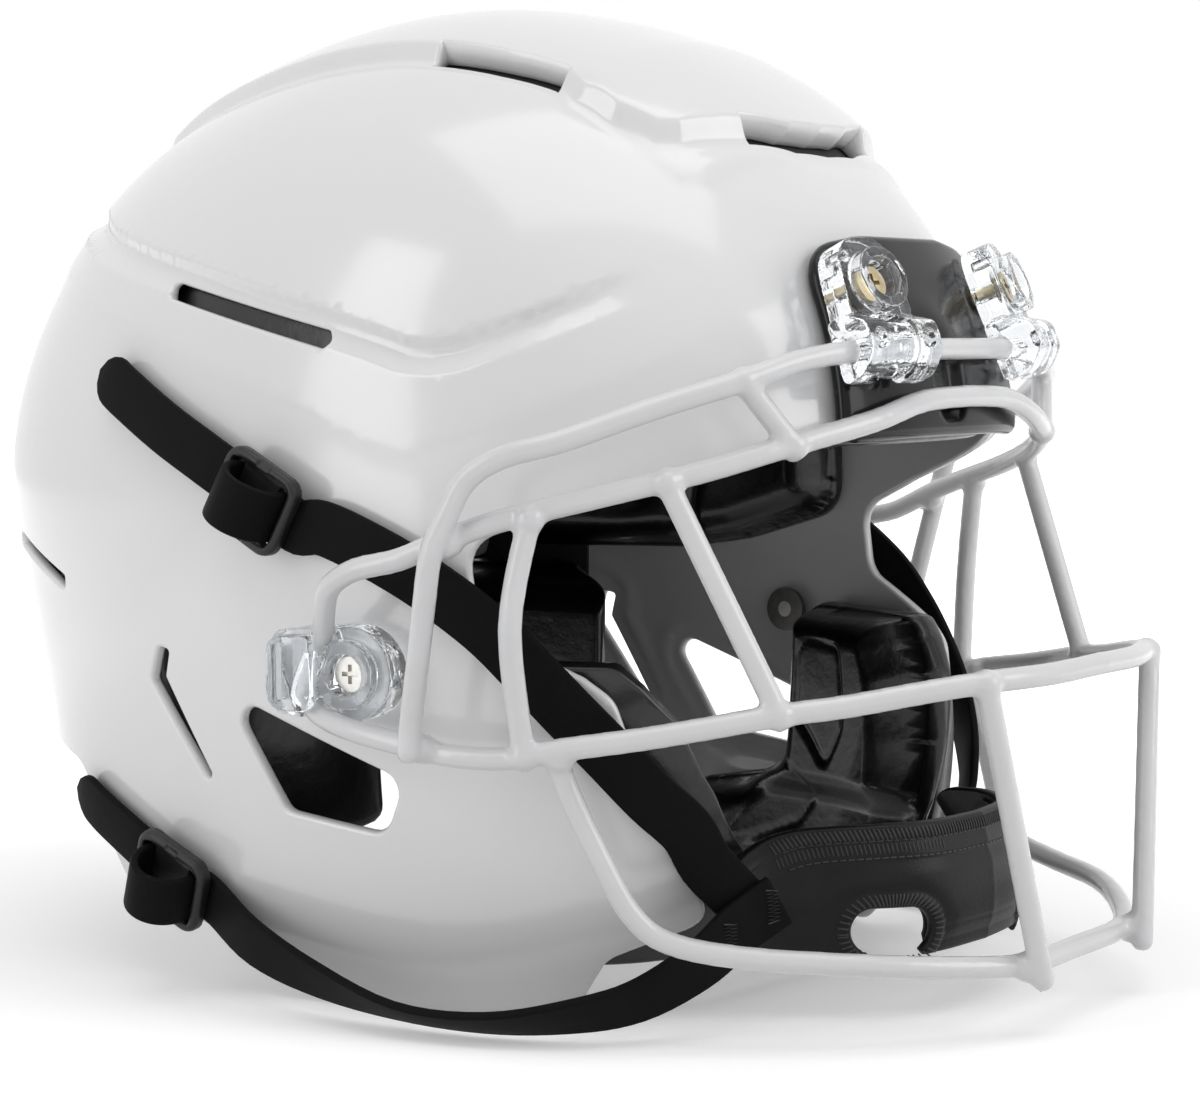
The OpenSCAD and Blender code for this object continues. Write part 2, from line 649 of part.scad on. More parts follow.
// Socket: a round cap that turns on the stud, under the buckle
module snap_socket(q, way) {
    color("silver") at_head() seat(q, way) translate([0, 0, stud_base_t + seat_gap + fit_gap])
        difference() {
            union() {
                cylinder(d = socket_d, h = socket_t - 1, $fn = 40);
                cylinder(d = socket_d - 4, h = socket_t, $fn = 40);
            }
            translate([0, 0, -1]) cylinder(d = stud_d + 2 * seat_gap + fit_gap, h = socket_t + 2, $fn = 40);
        }
}
// Buckle: a frame with round corners, two windows for the strap and a plate over the snap
module buckle(q, way) {
    color("black") at_head() seat(q, way) translate([0, 0, buckle_z]) difference() {
        linear_extrude(buckle_t) polygon(rounded([for (s = [[1, 1], [-1, 1], [-1, -1], [1, -1]])
            [s[0] * buckle_l / 2, s[1] * buckle_w / 2, 5]]));
        for (s = [-1, 1]) translate([s * slot_s - slot_w / 2, -strap_w / 2 - 1, -1])
            cube([slot_w, strap_w + 2, buckle_t + 2]);
        translate([0, 0, -1]) cylinder(d = stud_d + 1, h = 2.6, $fn = 40);
    }
}
// Strap stations: over the shell from side-view points, and beside a snap along its heading,
// at a lift over the skin and turned from the skin's normal towards the heading
function laid(p, off, share = 1) =
    let (q = on_side(p[0], p[1]), n = normal(q)) [q + off * n, n, share];
function by_snap(q, way, s, lift, turn = 0) =
    let (n = normal(q), x = cross(unit(cross(n, way)), n))
    [q + s * x + lift * n, cos(turn) * n + sin(turn) * x, 1];

// The strap stands up through the buckle's front slot, arches over its plate, goes down through
// the rear slot and lies on the shell as a tail with a round end
module tail(q, way, over) {
    top = buckle_z + buckle_t;
    color("black") at_head() strap(concat(
        [by_snap(q, way, slot_s, strap_lift + strap_t / 2 + 0.6, 90)],
        [for (a = [0:30:180]) by_snap(q, way, slot_s * cos(a), top + loop_rise * sin(a), 90 - a)],
        [by_snap(q, way, -slot_s, buckle_z + 0.6, -90),
         by_snap(q, way, -slot_s - 1.1, strap_lift + 0.3, -45),
         by_snap(q, way, -slot_s - 5, strap_lift)],
        smooth([for (p = over) laid([p[0], p[1]], p[2], p[3])])));
}
// Points of the tails in side view, with their lift over the skin and their share of the width
UPPER_TAIL = [[10, 9, 3.7, 1], [26, 17, 3.4, 1], [42, 25.5, 3.2, 1], [50, 30, 3.2, 0.8],
              [53.5, 32, 3.2, 0.4]];
LOWER_TAIL = [[43, -100.5, 3.6, 1], [56, -94, 3.4, 1], [64, -90, 3.2, 0.8], [67.5, -88, 3.2, 0.4]];
module upper_tail_left() tail(upper_stud_q, upper_way, UPPER_TAIL);
module upper_tail_right() mirror([1, 0, 0]) upper_tail_left();
module lower_tail_left() tail(lower_stud_q, lower_way, LOWER_TAIL);
module lower_tail_right() mirror([1, 0, 0]) lower_tail_left();

// The straps start under the front bars of their buckles and end one over the other, flat on the
// wings of the chin cup
wing_way = [0.514, -0.857, 0];
function on_wing(x, z, layer) =
    let (a = CUP[4], b = CUP[5])
    [[x, swing_y - mix(a[1], b[1], (x - a[0]) / (b[0] - a[0])), z]
     + ((layer + 0.5) * (strap_t + seat_gap) + seat_gap) * wing_way, wing_way, 1];
UPPER_OVER = [[-31, -9, 3.4, 1], [-46, -14.5, 3.4, 1], [-62, -22.5, 3.4, 1], [-78, -33.5, 3.4, 1],
              [-89, -44.5, 3.4, 1], [-98, -55, 3.4, 1], [-107, -66.5, 3.4, 1],
              [-114.5, -78, 3.4, 1], [-120, -87, 3.4, 1]];
UPPER_FREE = [[[76.5, -125, -97], [0.64, -0.75, -0.12], 1], [[70, -128.6, -104.6], wing_way, 1],
              on_wing(64, -111, 0), on_wing(61, -116.5, 0)];
LOWER_FREE = [[[120, -6, -124], [0.95, -0.1, -0.3], 1], [[122.5, -30, -131], [0.8, -0.1, -0.6], 1],
              [[123, -60, -136.5], [0.45, -0.15, -0.88], 1],
              [[119, -86, -137], [0.4, -0.3, -0.87], 1],
              [[110, -107, -134], [0.5, -0.5, -0.7], 1], [[98, -118.5, -130.5], [0.6, -0.6, -0.5], 1],
              [[84, -127.5, -123], [0.6, -0.75, -0.3], 1], [[73, -132, -115.5], [0.55, -0.82, -0.1], 1],
              on_wing(64, -112, 1), on_wing(58, -108, 1)];
module free_strap(q, way, over, free) {
    color("black") at_head() strap(concat(
        [for (s = [strap_foot, strap_foot + 7]) by_snap(q, way, s, strap_lift)],
        smooth(concat([for (p = over) laid([p[0], p[1]], p[2], p[3])], free))));
}
module upper_strap_left() free_strap(upper_stud_q, upper_way, UPPER_OVER, UPPER_FREE);
module upper_strap_right() mirror([1, 0, 0]) upper_strap_left();
module lower_strap_left() free_strap(lower_stud_q, lower_way, [], LOWER_FREE);
module lower_strap_right() mirror([1, 0, 0]) lower_strap_left();

// ---- chin cup

// The cup wraps the chin from wing to wing: u runs from side to side, v from bottom to top.
// Its outside is round about the swing line.
cup_half = smooth(CUP, 3);
cup_plan = concat([for (i = [len(cup_half) - 1:-1:1]) [-cup_half[i][0], cup_half[i][1]]], cup_half);
function cup_point(u, v, inset) =
    let (k = u * (len(cup_plan) - 1), i = min(floor(k), len(cup_plan) - 2),
         p = mix(cup_plan[i], cup_plan[i + 1], k - i), side = pow(2 * u - 1, 2),
         t = cup_plan[i + 1] - cup_plan[i], out = unit([-t[1], t[0]]),
         q = p - inset * out, s = mix(-1, 1, v),
         rise = 5 * (1 - side) + s * (cup_h / 2 + 6 * side * (1 - side) - 8.5 * pow(side, 2)))
    [q[0], swing_y - sqrt(q[1] * q[1] - rise * rise), swing_z + rise];
// The oval hole low on each side of the cup
module cup_holes() {
    for (s = [-1, 1]) translate([s * 34, swing_y - 50, swing_z - 6]) rotate([90, 0, 50 * s])
        hull() for (x = [-5, 5]) translate([x, 0, 0])
            cylinder(r = 6, h = 40, center = true, $fn = 20);
}
module chin_cup() {
    color("black") at_head() difference() {
        between(function(u, v) cup_point(u, v, 0), function(u, v) cup_point(u, v, cup_t / 2),
                20, 5);
        cup_holes();
    }
}
module chin_cup_liner() {
    color("dimgray") at_head() difference() {
        between(function(u, v) cup_point(mix(0.2, 0.8, u), mix(0.06, 0.94, v), cup_t / 2 + 0.7),
                function(u, v) cup_point(mix(0.2, 0.8, u), mix(0.06, 0.94, v), cup_t), 12, 5);
        cup_holes();
    }
}

module upper_buckle_left() buckle(upper_stud_q, upper_way);
module upper_buckle_right() mirror([1, 0, 0]) upper_buckle_left();
module lower_buckle_left() buckle(lower_stud_q, lower_way);
module lower_buckle_right() mirror([1, 0, 0]) lower_buckle_left();
module upper_snap_left() snap_socket(upper_stud_q, upper_way);
module upper_snap_right() mirror([1, 0, 0]) upper_snap_left();
module lower_snap_left() snap_socket(lower_stud_q, lower_way);
module lower_snap_right() mirror([1, 0, 0]) lower_snap_left();

shell();
front_bumper();
brow_pad();
crown_pad();
back_pad();
side_pad_left();
side_pad_right();
jaw_pad_left();
jaw_pad_right();
mask_top_bar();
mask_eye_bar();
mask_mid_bar();
mask_jaw_bar();
mask_front_posts();
mask_eye_struts();
mask_side_struts();
mask_brow_struts();
front_clip_left();
front_clip_right();
front_clip_screws();
front_clip_nuts();
side_clip_left();
side_clip_right();
side_clip_screws();
side_clip_nuts();
snap_studs();
snap_stud_nuts();
upper_buckle_left();
upper_buckle_right();
lower_buckle_left();
lower_buckle_right();
upper_snap_left();
upper_snap_right();
lower_snap_left();
lower_snap_right();
upper_tail_left();
upper_tail_right();
lower_tail_left();
lower_tail_right();
upper_strap_left();
upper_strap_right();
lower_strap_left();
lower_strap_right();
chin_cup();
chin_cup_liner();
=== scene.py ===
# %% [markdown]
# # An american football helmet
# This notebook dresses the construction model of a helmet. The packed model is loaded first as a
# fixed frame. Every finished piece below takes the place of a plain solid of that frame and moves
# with the same body, so nothing has to be fitted by eye.

# %% The frame and its box
import math

import bpy
import numpy as np
from mathutils import Matrix, Vector


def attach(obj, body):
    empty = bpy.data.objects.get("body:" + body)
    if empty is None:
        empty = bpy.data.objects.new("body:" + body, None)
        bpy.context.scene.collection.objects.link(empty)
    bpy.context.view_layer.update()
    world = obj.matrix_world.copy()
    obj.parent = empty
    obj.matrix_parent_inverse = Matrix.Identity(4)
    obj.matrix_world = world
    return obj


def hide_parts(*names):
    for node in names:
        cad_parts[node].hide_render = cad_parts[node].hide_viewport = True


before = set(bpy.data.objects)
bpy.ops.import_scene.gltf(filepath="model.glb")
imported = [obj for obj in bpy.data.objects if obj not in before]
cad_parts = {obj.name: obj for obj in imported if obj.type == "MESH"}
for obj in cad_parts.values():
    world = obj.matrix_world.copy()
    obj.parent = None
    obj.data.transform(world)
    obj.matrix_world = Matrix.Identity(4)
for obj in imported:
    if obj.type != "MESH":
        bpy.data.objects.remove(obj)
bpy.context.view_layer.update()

# %% [markdown]
# ## Measuring from the head
# A helmet maker measures in millimetres from the centre of the head. The frame is in metres, so one
# helper turns the first into the second, and it is the only place where the two meet.

# %% From the head to the frame
MM = 0.001
HEAD = np.array([0.0, 26.0, 142.0])


def to_frame(points):
    """Millimetres from the head centre to metres in the frame."""
    return (np.asarray(points, float) + HEAD) * MM


print("head centre in the frame", to_frame([0, 0, 0]))

# %% [markdown]
# ## The skin of the helmet
# A shell is a smooth egg that is a little square in section. It could be sculpted, but then each piece
# on it would have to be fitted by hand. Here two tables say how far the skin reaches and how square it
# is at each angle round the side view, so the shell, the bumper and the straps all find the same
# surface.

# %% Reach and squareness by angle
REACH = [(0, 154), (35, 145), (70, 133.5), (105, 138), (135, 148.5), (165, 154), (200, 156),
         (235, 182), (270, 180), (300, 168), (330, 149)]
SQUARE = [(0, 2.3), (90, 2.25), (165, 2.6), (220, 3.1), (255, 3.9), (290, 3.6), (330, 2.6)]
HALF_WIDTH = 117.0


def around(table, angle):
    """A smooth value by angle from a table that repeats every turn."""
    a = np.array([t[0] for t in table], float)
    v = np.array([t[1] for t in table], float)
    a = np.concatenate([a[-2:] - 360, a, a[:3] + 360])
    v = np.concatenate([v[-2:], v, v[:3]])
    slope = np.zeros_like(v)
    slope[1:-1] = (v[2:] - v[:-2]) / (a[2:] - a[:-2])
    q = np.asarray(angle) % 360
    i = np.searchsorted(a, q, side="right") - 1
    h = a[i + 1] - a[i]
    s = (q - a[i]) / h
    m0, m1 = slope[i] * h, slope[i + 1] * h
    return (v[i] + s * m0 + s**2 * (3 * (v[i + 1] - v[i]) - 2 * m0 - m1)
            + s**3 * (2 * (v[i] - v[i + 1]) + m0 + m1))


print("reach to the back", around(REACH, 0), "to the top", around(REACH, 90), "mm")

# %% Inside, outside and outward
def level(p, off=0.0):
    """Below 0 inside the skin, above 0 outside it."""
    angle = np.degrees(np.arctan2(p[..., 2], p[..., 1]))
    n = around(SQUARE, angle)
    return ((np.hypot(p[..., 1], p[..., 2]) / (around(REACH, angle) + off)) ** n
            + (np.abs(p[..., 0]) / (HALF_WIDTH + off)) ** n - 1)


def unit(v):
    return v / np.maximum(np.linalg.norm(v, axis=-1, keepdims=True), 1e-12)


def normal(p, step=0.5):
    """The outward direction of the skin."""
    g = [level(p + step * e) - level(p - step * e) for e in np.eye(3)]
    return unit(np.stack(g, axis=-1))


print("the head centre is inside:", bool(level(np.zeros(3)) < 0))

# %% Where lines leave the skin
BEYOND, HALVINGS = 260, 30


def hit(start, way, off=0.0):
    """Where lines from start along way leave the skin, by halving the stretch that holds it."""
    start, way = np.broadcast_arrays(np.asarray(start, float), np.asarray(way, float))
    lo = np.zeros(start.shape[:-1])
    hi = lo + BEYOND
    for _ in range(HALVINGS):
        mid = (lo + hi) / 2
        inside = level(start + mid[..., None] * way, off) < 0
        lo, hi = np.where(inside, mid, lo), np.where(inside, hi, mid)
    return start + lo[..., None] * way


def on_side(y, z, off=0.0):
    y, z = np.broadcast_arrays(np.asarray(y, float), np.asarray(z, float))
    return hit(np.stack([0 * y, y, z], -1), np.array([1.0, 0, 0]), off)


def on_front(x, z, off=0.0):
    x, z = np.broadcast_arrays(np.asarray(x, float), np.asarray(z, float))
    return hit(np.stack([x, 0 * x, z], -1), np.array([0, -1.0, 0]), off)


def from_head(points):
    """Onto the skin along lines from the head centre."""
    return hit(np.zeros(3), unit(points))


print("skin over the ear", on_side(0, -60).round(1), "and at the brow", on_front(0, 30).round(1))

# %% [markdown]
# ## Curves and distances
# Outlines on the object are drawn with arcs and flowing lines. Here they are lists of points, and what
# is asked of them is how far away they are. A distance is handier than a cut: it can trim a mesh,
# round a lip, raise a ridge beside an edge or fade a groove, all from one number.

# %% Smooth paths and rounded outlines
def smooth_path(p, n=4):
    """A smooth curve through points with n steps between neighbours."""
    p = np.asarray(p, float)
    q = []
    for i in range(len(p) - 1):
        a, b, c, d = p[max(i - 1, 0)], p[i], p[i + 1], p[min(i + 2, len(p) - 1)]
        for s in np.arange(n) / n:
            q.append((2 * b + (c - a) * s + (2 * a - 5 * b + 4 * c - d) * s * s
                      + (3 * b - a - 3 * c + d) * s**3) / 2)
    return np.array(q + [p[-1]])


def rounded(corners, steps=6):
    """Corners (x, y, radius) with each corner turned into an arc."""
    out = []
    n = len(corners)
    for i, (x, y, r) in enumerate(corners):
        b = np.array([x, y], float)
        if r == 0:
            out.append(b)
            continue
        u = unit(np.array(corners[i - 1][:2], float) - b)
        v = unit(np.array(corners[(i + 1) % n][:2], float) - b)
        half = math.acos(np.clip(u @ v, -1, 1)) / 2
        m = b + unit(u + v) * r / math.sin(half)
        p, q = b + u * r / math.tan(half) - m, b + v * r / math.tan(half) - m
        a0 = math.atan2(p[1], p[0])
        turn = (math.atan2(q[1], q[0]) - a0 + math.pi) % (2 * math.pi) - math.pi
        out += [m + r * np.array([math.cos(a0 + turn * k / steps), math.sin(a0 + turn * k / steps)])
                for k in range(steps + 1)]
    return np.array(out)


def oblong(x0, x1, y0, y1, radius):
    return rounded([(x1, y1, radius), (x0, y1, radius), (x0, y0, radius), (x1, y0, radius)])


print("a rounded oblong has", len(oblong(0, 2, 0, 1, 0.2)), "points")

# %% Distance from an outline and from a line
UNSEEN = 1e9


def polygon_distance(p, corners):
    """Distance of 2-D points from a polygon, below 0 inside it."""
    a = np.asarray(corners, float)
    b = np.roll(a, -1, axis=0)
    best = np.full(p.shape[:-1], UNSEEN)
    inside = np.zeros(p.shape[:-1], bool)
    for (ax, ay), (bx, by) in zip(a, b):
        ex, ey = bx - ax, by - ay
        wx, wy = p[..., 0] - ax, p[..., 1] - ay
        t = np.clip((wx * ex + wy * ey) / (ex * ex + ey * ey + 1e-12), 0, 1)
        best = np.minimum(best, np.hypot(wx - t * ex, wy - t * ey))
        cross = (ay > p[..., 1]) != (by > p[..., 1])
        with np.errstate(divide="ignore", invalid="ignore"):
            side = p[..., 0] < ax + (p[..., 1] - ay) * ex / (ey if ey else 1e-12)
        inside ^= cross & side
    return np.where(inside, -best, best)


def line_distance(p, line):
    """Distance from a 2-D line of points, above 0 on its left, and the share along it."""
    a = np.asarray(line, float)
    best = np.full(p.shape[:-1], UNSEEN)
    signed = best.copy()
    share = np.zeros(p.shape[:-1])
    for i in range(len(a) - 1):
        e = a[i + 1] - a[i]
        w = p - a[i]
        t = np.clip((w @ e) / (e @ e), 0, 1)
        d = np.hypot(w[..., 0] - t * e[0], w[..., 1] - t * e[1])
        s = e[0] * w[..., 1] - e[1] * w[..., 0]
        near = d < best - 1e-9
        signed = np.where(near, np.where(s < 0, -d, d), signed)
        share = np.where(near, (i + t) / (len(a) - 1), share)
        best = np.minimum(best, d)
    return signed, share


print("half a unit inside:", polygon_distance(np.array([0.5, 0.5]), [(0, 0), (1, 0), (1, 1), (0, 1)]))

# %% Soft steps and bells
def ramp(x, a, b):
    """0 at a, 1 at b and smooth between."""
    t = np.clip((x - a) / (b - a), 0, 1)
    return t * t * (3 - 2 * t)


def bell(x, centre, width):
    """1 at the centre, fading over the width."""
    return np.exp(-((x - centre) / width) ** 2)


print("half way up a ramp", ramp(0.5, 0, 1), "and one width down a bell", bell(1, 0, 1).round(2))

# %% [markdown]
# ## Outline, vents and relief of the shell
# The real shell is one injection moulding. Its relief is a height over the skin: a raised crown rib
# with a stepped wall, a V-shaped channel along each side and a softer crease under it. Cutting and
# joining solids would leave hard edges, so the outline, the vents and the relief are all distances.

# %% Lines of the shell, drawn in the side view or from above
OUTLINE = [(-230, 30, 0), (-150, 17, 30), (-94, -3, 30), (-72, -13, 9), (-75, -33, 9),
           (-102, -47, 6), (-109, -53, 10), (-116, -80, 40), (-121.5, -115, 8), (-100, -125, 10),
           (-88, -142, 8), (-14, -142, 14), (14, -126, 30), (56, -117, 10), (72, -82, 12),
           (130, -72, 40), (230, -70, 0), (230, 230, 0), (-230, 230, 0)]
RIB = [(0, -115), (16, -114), (33, -109), (44, -105), (53, -101), (58, -97), (61, -86), (61, -75),
       (58, -68), (59, -50), (59, -25), (58, 4), (56, 24), (52, 44), (46, 66), (36, 92), (24, 106),
       (0, 112)]
TERRACE = [(0, -119), (23, -118), (43, -115), (55, -112.5), (62, -107), (63.5, -96), (62, -84),
           (59, -78), (50, -60), (0, -60)]
CHANNEL_TOP = [(175, 103), (120, 88), (74, 73), (49, 67), (24, 61.5), (-1, 55), (-23, 50),
               (-43, 44.5), (-52, 41.6), (-59, 41), (-66, 42), (-72, 44.3), (-87, 50), (-99, 56),
               (-112, 62)]
CREASE = [(175, 82), (120, 68), (83, 56), (40, 43), (2, 30.5), (-30, 20), (-46, 14.5), (-56, 13),
          (-66, 14), (-76, 18), (-90, 24), (-109, 32), (-122, 40), (-127, 52)]
LONG_SLOT = [(35, 58.6, 1.5), (-26, 44.6, 2), (-29, 38.6, 2), (34, 53.6, 1.5)]
BACK_SLOT = [(78, -27.6, 0.8), (109, -16.8, 0.8), (109, -19.8, 0.8), (78, -31, 0.8)]
HOOK_SLOT = [(12.5, -80.5, 1), (14.5, -80.5, 1), (34.5, -54, 1.5), (31.8, -44.8, 1), (28, -45.6, 1),
             (29.6, -53, 1)]
EAR_HOLE = [(6.5, -56, 4), (-52.5, -76.5, 6), (-46.5, -91.5, 6), (-14, -87.4, 5)]


def whole(half):
    """Both halves of an outline that is drawn for one side."""
    half = np.array(half, float)
    return np.concatenate([half, half[-2:0:-1] * [-1, 1]])


outline, rib, terrace = rounded(OUTLINE), whole(RIB), whole(TERRACE)
side_vents = [rounded(slot) for slot in (LONG_SLOT, BACK_SLOT, HOOK_SLOT, EAR_HOLE)]
print("outline", len(outline), "points, rib", len(rib), "points,", len(side_vents), "vents a side")

# %% Height of the moulding over the skin
FAR_OFF = 99.0
RIB_HIGH, RIB_FOOT, TERRACE_HIGH = 4.0, 0.5, 1.0
CHANNEL_WIDE, CHANNEL_DEEP, CHANNEL_LIP = 8.6, 2.6, 0.28
CREASE_DEEP, CREASE_BLEND, CREASE_LONG = 1.5, 8, 46


def side_view(p):
    return np.stack([p[..., 1], p[..., 2]], -1)


def from_above(p, outline):
    """Distance from an outline on the crown; the underside doesn't count."""
    return np.where(p[..., 2] > 0, polygon_distance(p[..., :2], outline), FAR_OFF)


def relief(p):
    """Height of the moulding over the skin, in millimetres."""
    d = from_above(p, rib)
    h = RIB_HIGH * ramp(d, 2.6, -2.2) - RIB_FOOT * bell(d, 4.2, 1.8)
    h += TERRACE_HIGH * ramp(from_above(p, terrace), 2.2, -2.2) * ramp(p[..., 1], -66, -80)
    off, share = line_distance(side_view(p), CHANNEL_TOP)
    depth = np.interp(off, [-1.2, 1.6, 3.4, CHANNEL_WIDE, CHANNEL_WIDE + 1.8], [0, 0.97, 1, 0.12, 0])
    lip = CHANNEL_LIP * bell(off, CHANNEL_WIDE + 0.6, 1.1)
    h += ramp(share, 0.995, 0.88) * (lip - CHANNEL_DEEP * depth)
    crease, at = line_distance(side_view(p), CREASE)
    below = np.maximum(crease, 0)
    return h - (CREASE_DEEP * (1 - np.exp(-below / CREASE_BLEND)) * np.exp(-below / CREASE_LONG)
                * ramp(at, 0.0, 0.12) * ramp(at, 1.0, 0.9))


print("relief on the crown", relief(from_head(np.array([[0, 0, 1.0]]))).round(2), "mm")

# %% Vents and what is kept of the skin
LIP = 1.1
CROWN_VENT_Y, CROWN_VENT_HALF = -47, 20.5
BROW_VENT_Y, BROW_VENT_HALF = -90, 33
VENTS_ABOVE = 40


def vent_distance(p):
    """Distance from the nearest vent, below 0 inside it. The crown vents follow the rib's wall."""
    near = np.min([polygon_distance(side_view(p), vent) for vent in side_vents], axis=0)
    d = from_above(p, rib)
    crown = np.maximum(np.abs(d - 0.6) - 2.4, np.abs(p[..., 1] - CROWN_VENT_Y) - CROWN_VENT_HALF)
    brow = np.maximum(np.abs(d - 0.4) - 1.9,
                      np.maximum(np.abs(p[..., 0]) - BROW_VENT_HALF, p[..., 1] - BROW_VENT_Y))
    return np.minimum(near, np.where(p[..., 2] > VENTS_ABOVE, np.minimum(crown, brow), FAR_OFF))


def kept(p):
    """Above 0 where the shell has material, as a distance from its edges."""
    return np.minimum(-polygon_distance(side_view(p), outline), vent_distance(p)) - LIP


print("kept at the brow", kept(on_front([0.0], [40.0])).round(1), "mm from the nearest edge")

# %% [markdown]
# ## The shell's mesh
# A globe of rings would pinch the gloss at its poles. A cube's grid blown up to the skin has no poles,
# so the reflections stay even. Its triangles are split twice near an edge or a step of the relief,
# which costs far less than a fine grid all over.

# %% A blown-up cube
def cube_grid(n):
    """Directions and triangles of a cube's six faces, with shared edges."""
    faces = []
    t = np.tan(np.linspace(-1, 1, n + 1) * np.pi / 4)
    u, v = np.meshgrid(t, t, indexing="ij")
    one = np.ones_like(u)
    for axis in range(3):
        for sign in (-1, 1):
            g = [None] * 3
            g[axis], g[(axis + 1) % 3], g[(axis + 2) % 3] = sign * one, u, v * sign
            faces.append(np.stack(g, -1))
    points = np.concatenate([f.reshape(-1, 3) for f in faces])
    tris = []
    i, j = np.meshgrid(np.arange(n), np.arange(n), indexing="ij")
    a = (i * (n + 1) + j).ravel()
    for k in range(6):
        b = a + k * (n + 1) ** 2
        tris += [np.stack([b, b + n + 1, b + n + 2], -1), np.stack([b, b + n + 2, b + 1], -1)]
    _, first, back = np.unique(np.round(points, 6), axis=0, return_index=True, return_inverse=True)
    return points[first], back.ravel()[np.concatenate(tris)]


EGG = [117, 160, 150]


def skin_grid(n):
    ways, tris = cube_grid(n)
    return from_head(ways * EGG), tris


print("a coarse skin has", len(skin_grid(8)[1]), "triangles")

# %% Splitting where the detail is
def three_edges(tris):
    return np.concatenate([tris[:, [0, 1]], tris[:, [1, 2]], tris[:, [2, 0]]])


def split(points, tris, marked):
    """Splits the marked edges of triangles at points of the skin."""
    edges = np.sort(three_edges(tris), axis=1)
    pairs, back = np.unique(edges, axis=0, return_inverse=True)
    cut = marked(points[pairs[:, 0]], points[pairs[:, 1]])
    new = np.full(len(pairs), -1)
    new[cut] = len(points) + np.arange(cut.sum())
    middle = (points[pairs[cut, 0]] + points[pairs[cut, 1]]) / 2
    points = np.concatenate([points, from_head(middle)])
    m = new[back.ravel()].reshape(3, -1).T
    out = []
    for turn in range(3):
        t, e = np.roll(tris, -turn, axis=1), np.roll(m, -turn, axis=1)
        c = e >= 0
        one = c[:, 0] & ~c[:, 1] & ~c[:, 2]
        a, b, d = t[one].T
        ab = e[one, 0]
        out += [np.stack([a, ab, d], -1), np.stack([ab, b, d], -1)]
        two = c[:, 0] & c[:, 1] & ~c[:, 2]
        a, b, d = t[two].T
        ab, bd = e[two, 0], e[two, 1]
        out += [np.stack([ab, b, bd], -1), np.stack([a, ab, bd], -1), np.stack([a, bd, d], -1)]
    full = (m >= 0).all(1)
    a, b, d = tris[full].T
    ab, bd, da = m[full].T
    out += [np.stack(s, -1) for s in ((a, ab, da), (ab, b, bd), (da, bd, d), (ab, bd, da))]
    out.append(tris[(m < 0).all(1)])
    return points, np.concatenate(out)


SHORTEST = 0.7


def near_detail(reach, bend):
    """Marks edges within reach of an opening, or where the relief bends more than a straight edge."""
    def marked(a, b):
        mid = (a + b) / 2
        open_edge = np.abs(kept(mid)) < reach
        bent = np.abs(relief(mid) - (relief(a) + relief(b)) / 2) > bend
        return (np.linalg.norm(a - b, axis=1) > SHORTEST) & (open_edge | bent)
    return marked


points, tris = skin_grid(84)
for reach, bend in ((4.5, 0.08), (2.0, 0.04)):
    points, tris = split(points, tris, near_detail(reach, bend))
    print("split within", reach, "mm of an edge:", len(tris), "triangles")

# %% Trimming a sheet on a distance
def trim(points, tris, value, project):
    """Keeps the part of the triangles where value is above 0."""
    f = value.copy()
    f[np.abs(f) < 0.02] = -0.02
    up = f[tris] > 0
    mixed = up.any(1) & ~up.all(1)
    new_points, seen, extra = [], {}, []
    count = len(points)

    def cross(i, j):
        key = (i, j) if i < j else (j, i)
        if key not in seen:
            i, j = key
            s = f[i] / (f[i] - f[j])
            seen[key] = count + len(new_points)
            new_points.append(points[i] + s * (points[j] - points[i]))
        return seen[key]

    for tri, u in zip(tris[mixed], up[mixed]):
        k = int(np.argmax(u)) if u.sum() == 1 else int(np.argmin(u))
        a, b, c = (int(tri[(k + s) % 3]) for s in range(3))
        p, q = cross(a, b), cross(a, c)
        extra += [(a, p, q)] if u.sum() == 1 else [(p, b, c), (p, c, q)]
    if not extra:
        return points, tris[up.all(1)]
    points = np.concatenate([points, project(np.array(new_points))])
    return points, np.concatenate([tris[up.all(1)], np.array(extra)])


def used_only(points, tris):
    used, back = np.unique(tris, return_inverse=True)
    return points[used], back.reshape(-1, 3)


print("the trimmed sheet has", len(trim(points, tris, kept(points), from_head)[1]), "triangles")

# %% [markdown]
# ## A wall with round lips
# A moulded part has the same wall everywhere and no sharp edge. A thickness modifier would make the
# wall, but with square edges. This helper closes a trimmed sheet with rings of points that bulge
# outward between its two faces, and the bumper, the cup and all the pads are made with it as well.

# %% Two faces and the lip between them
def border(tris):
    """The directed edges that only one triangle has."""
    have = {(int(a), int(b)) for a, b in three_edges(tris)}
    return [(a, b) for a, b in have if (b, a) not in have]


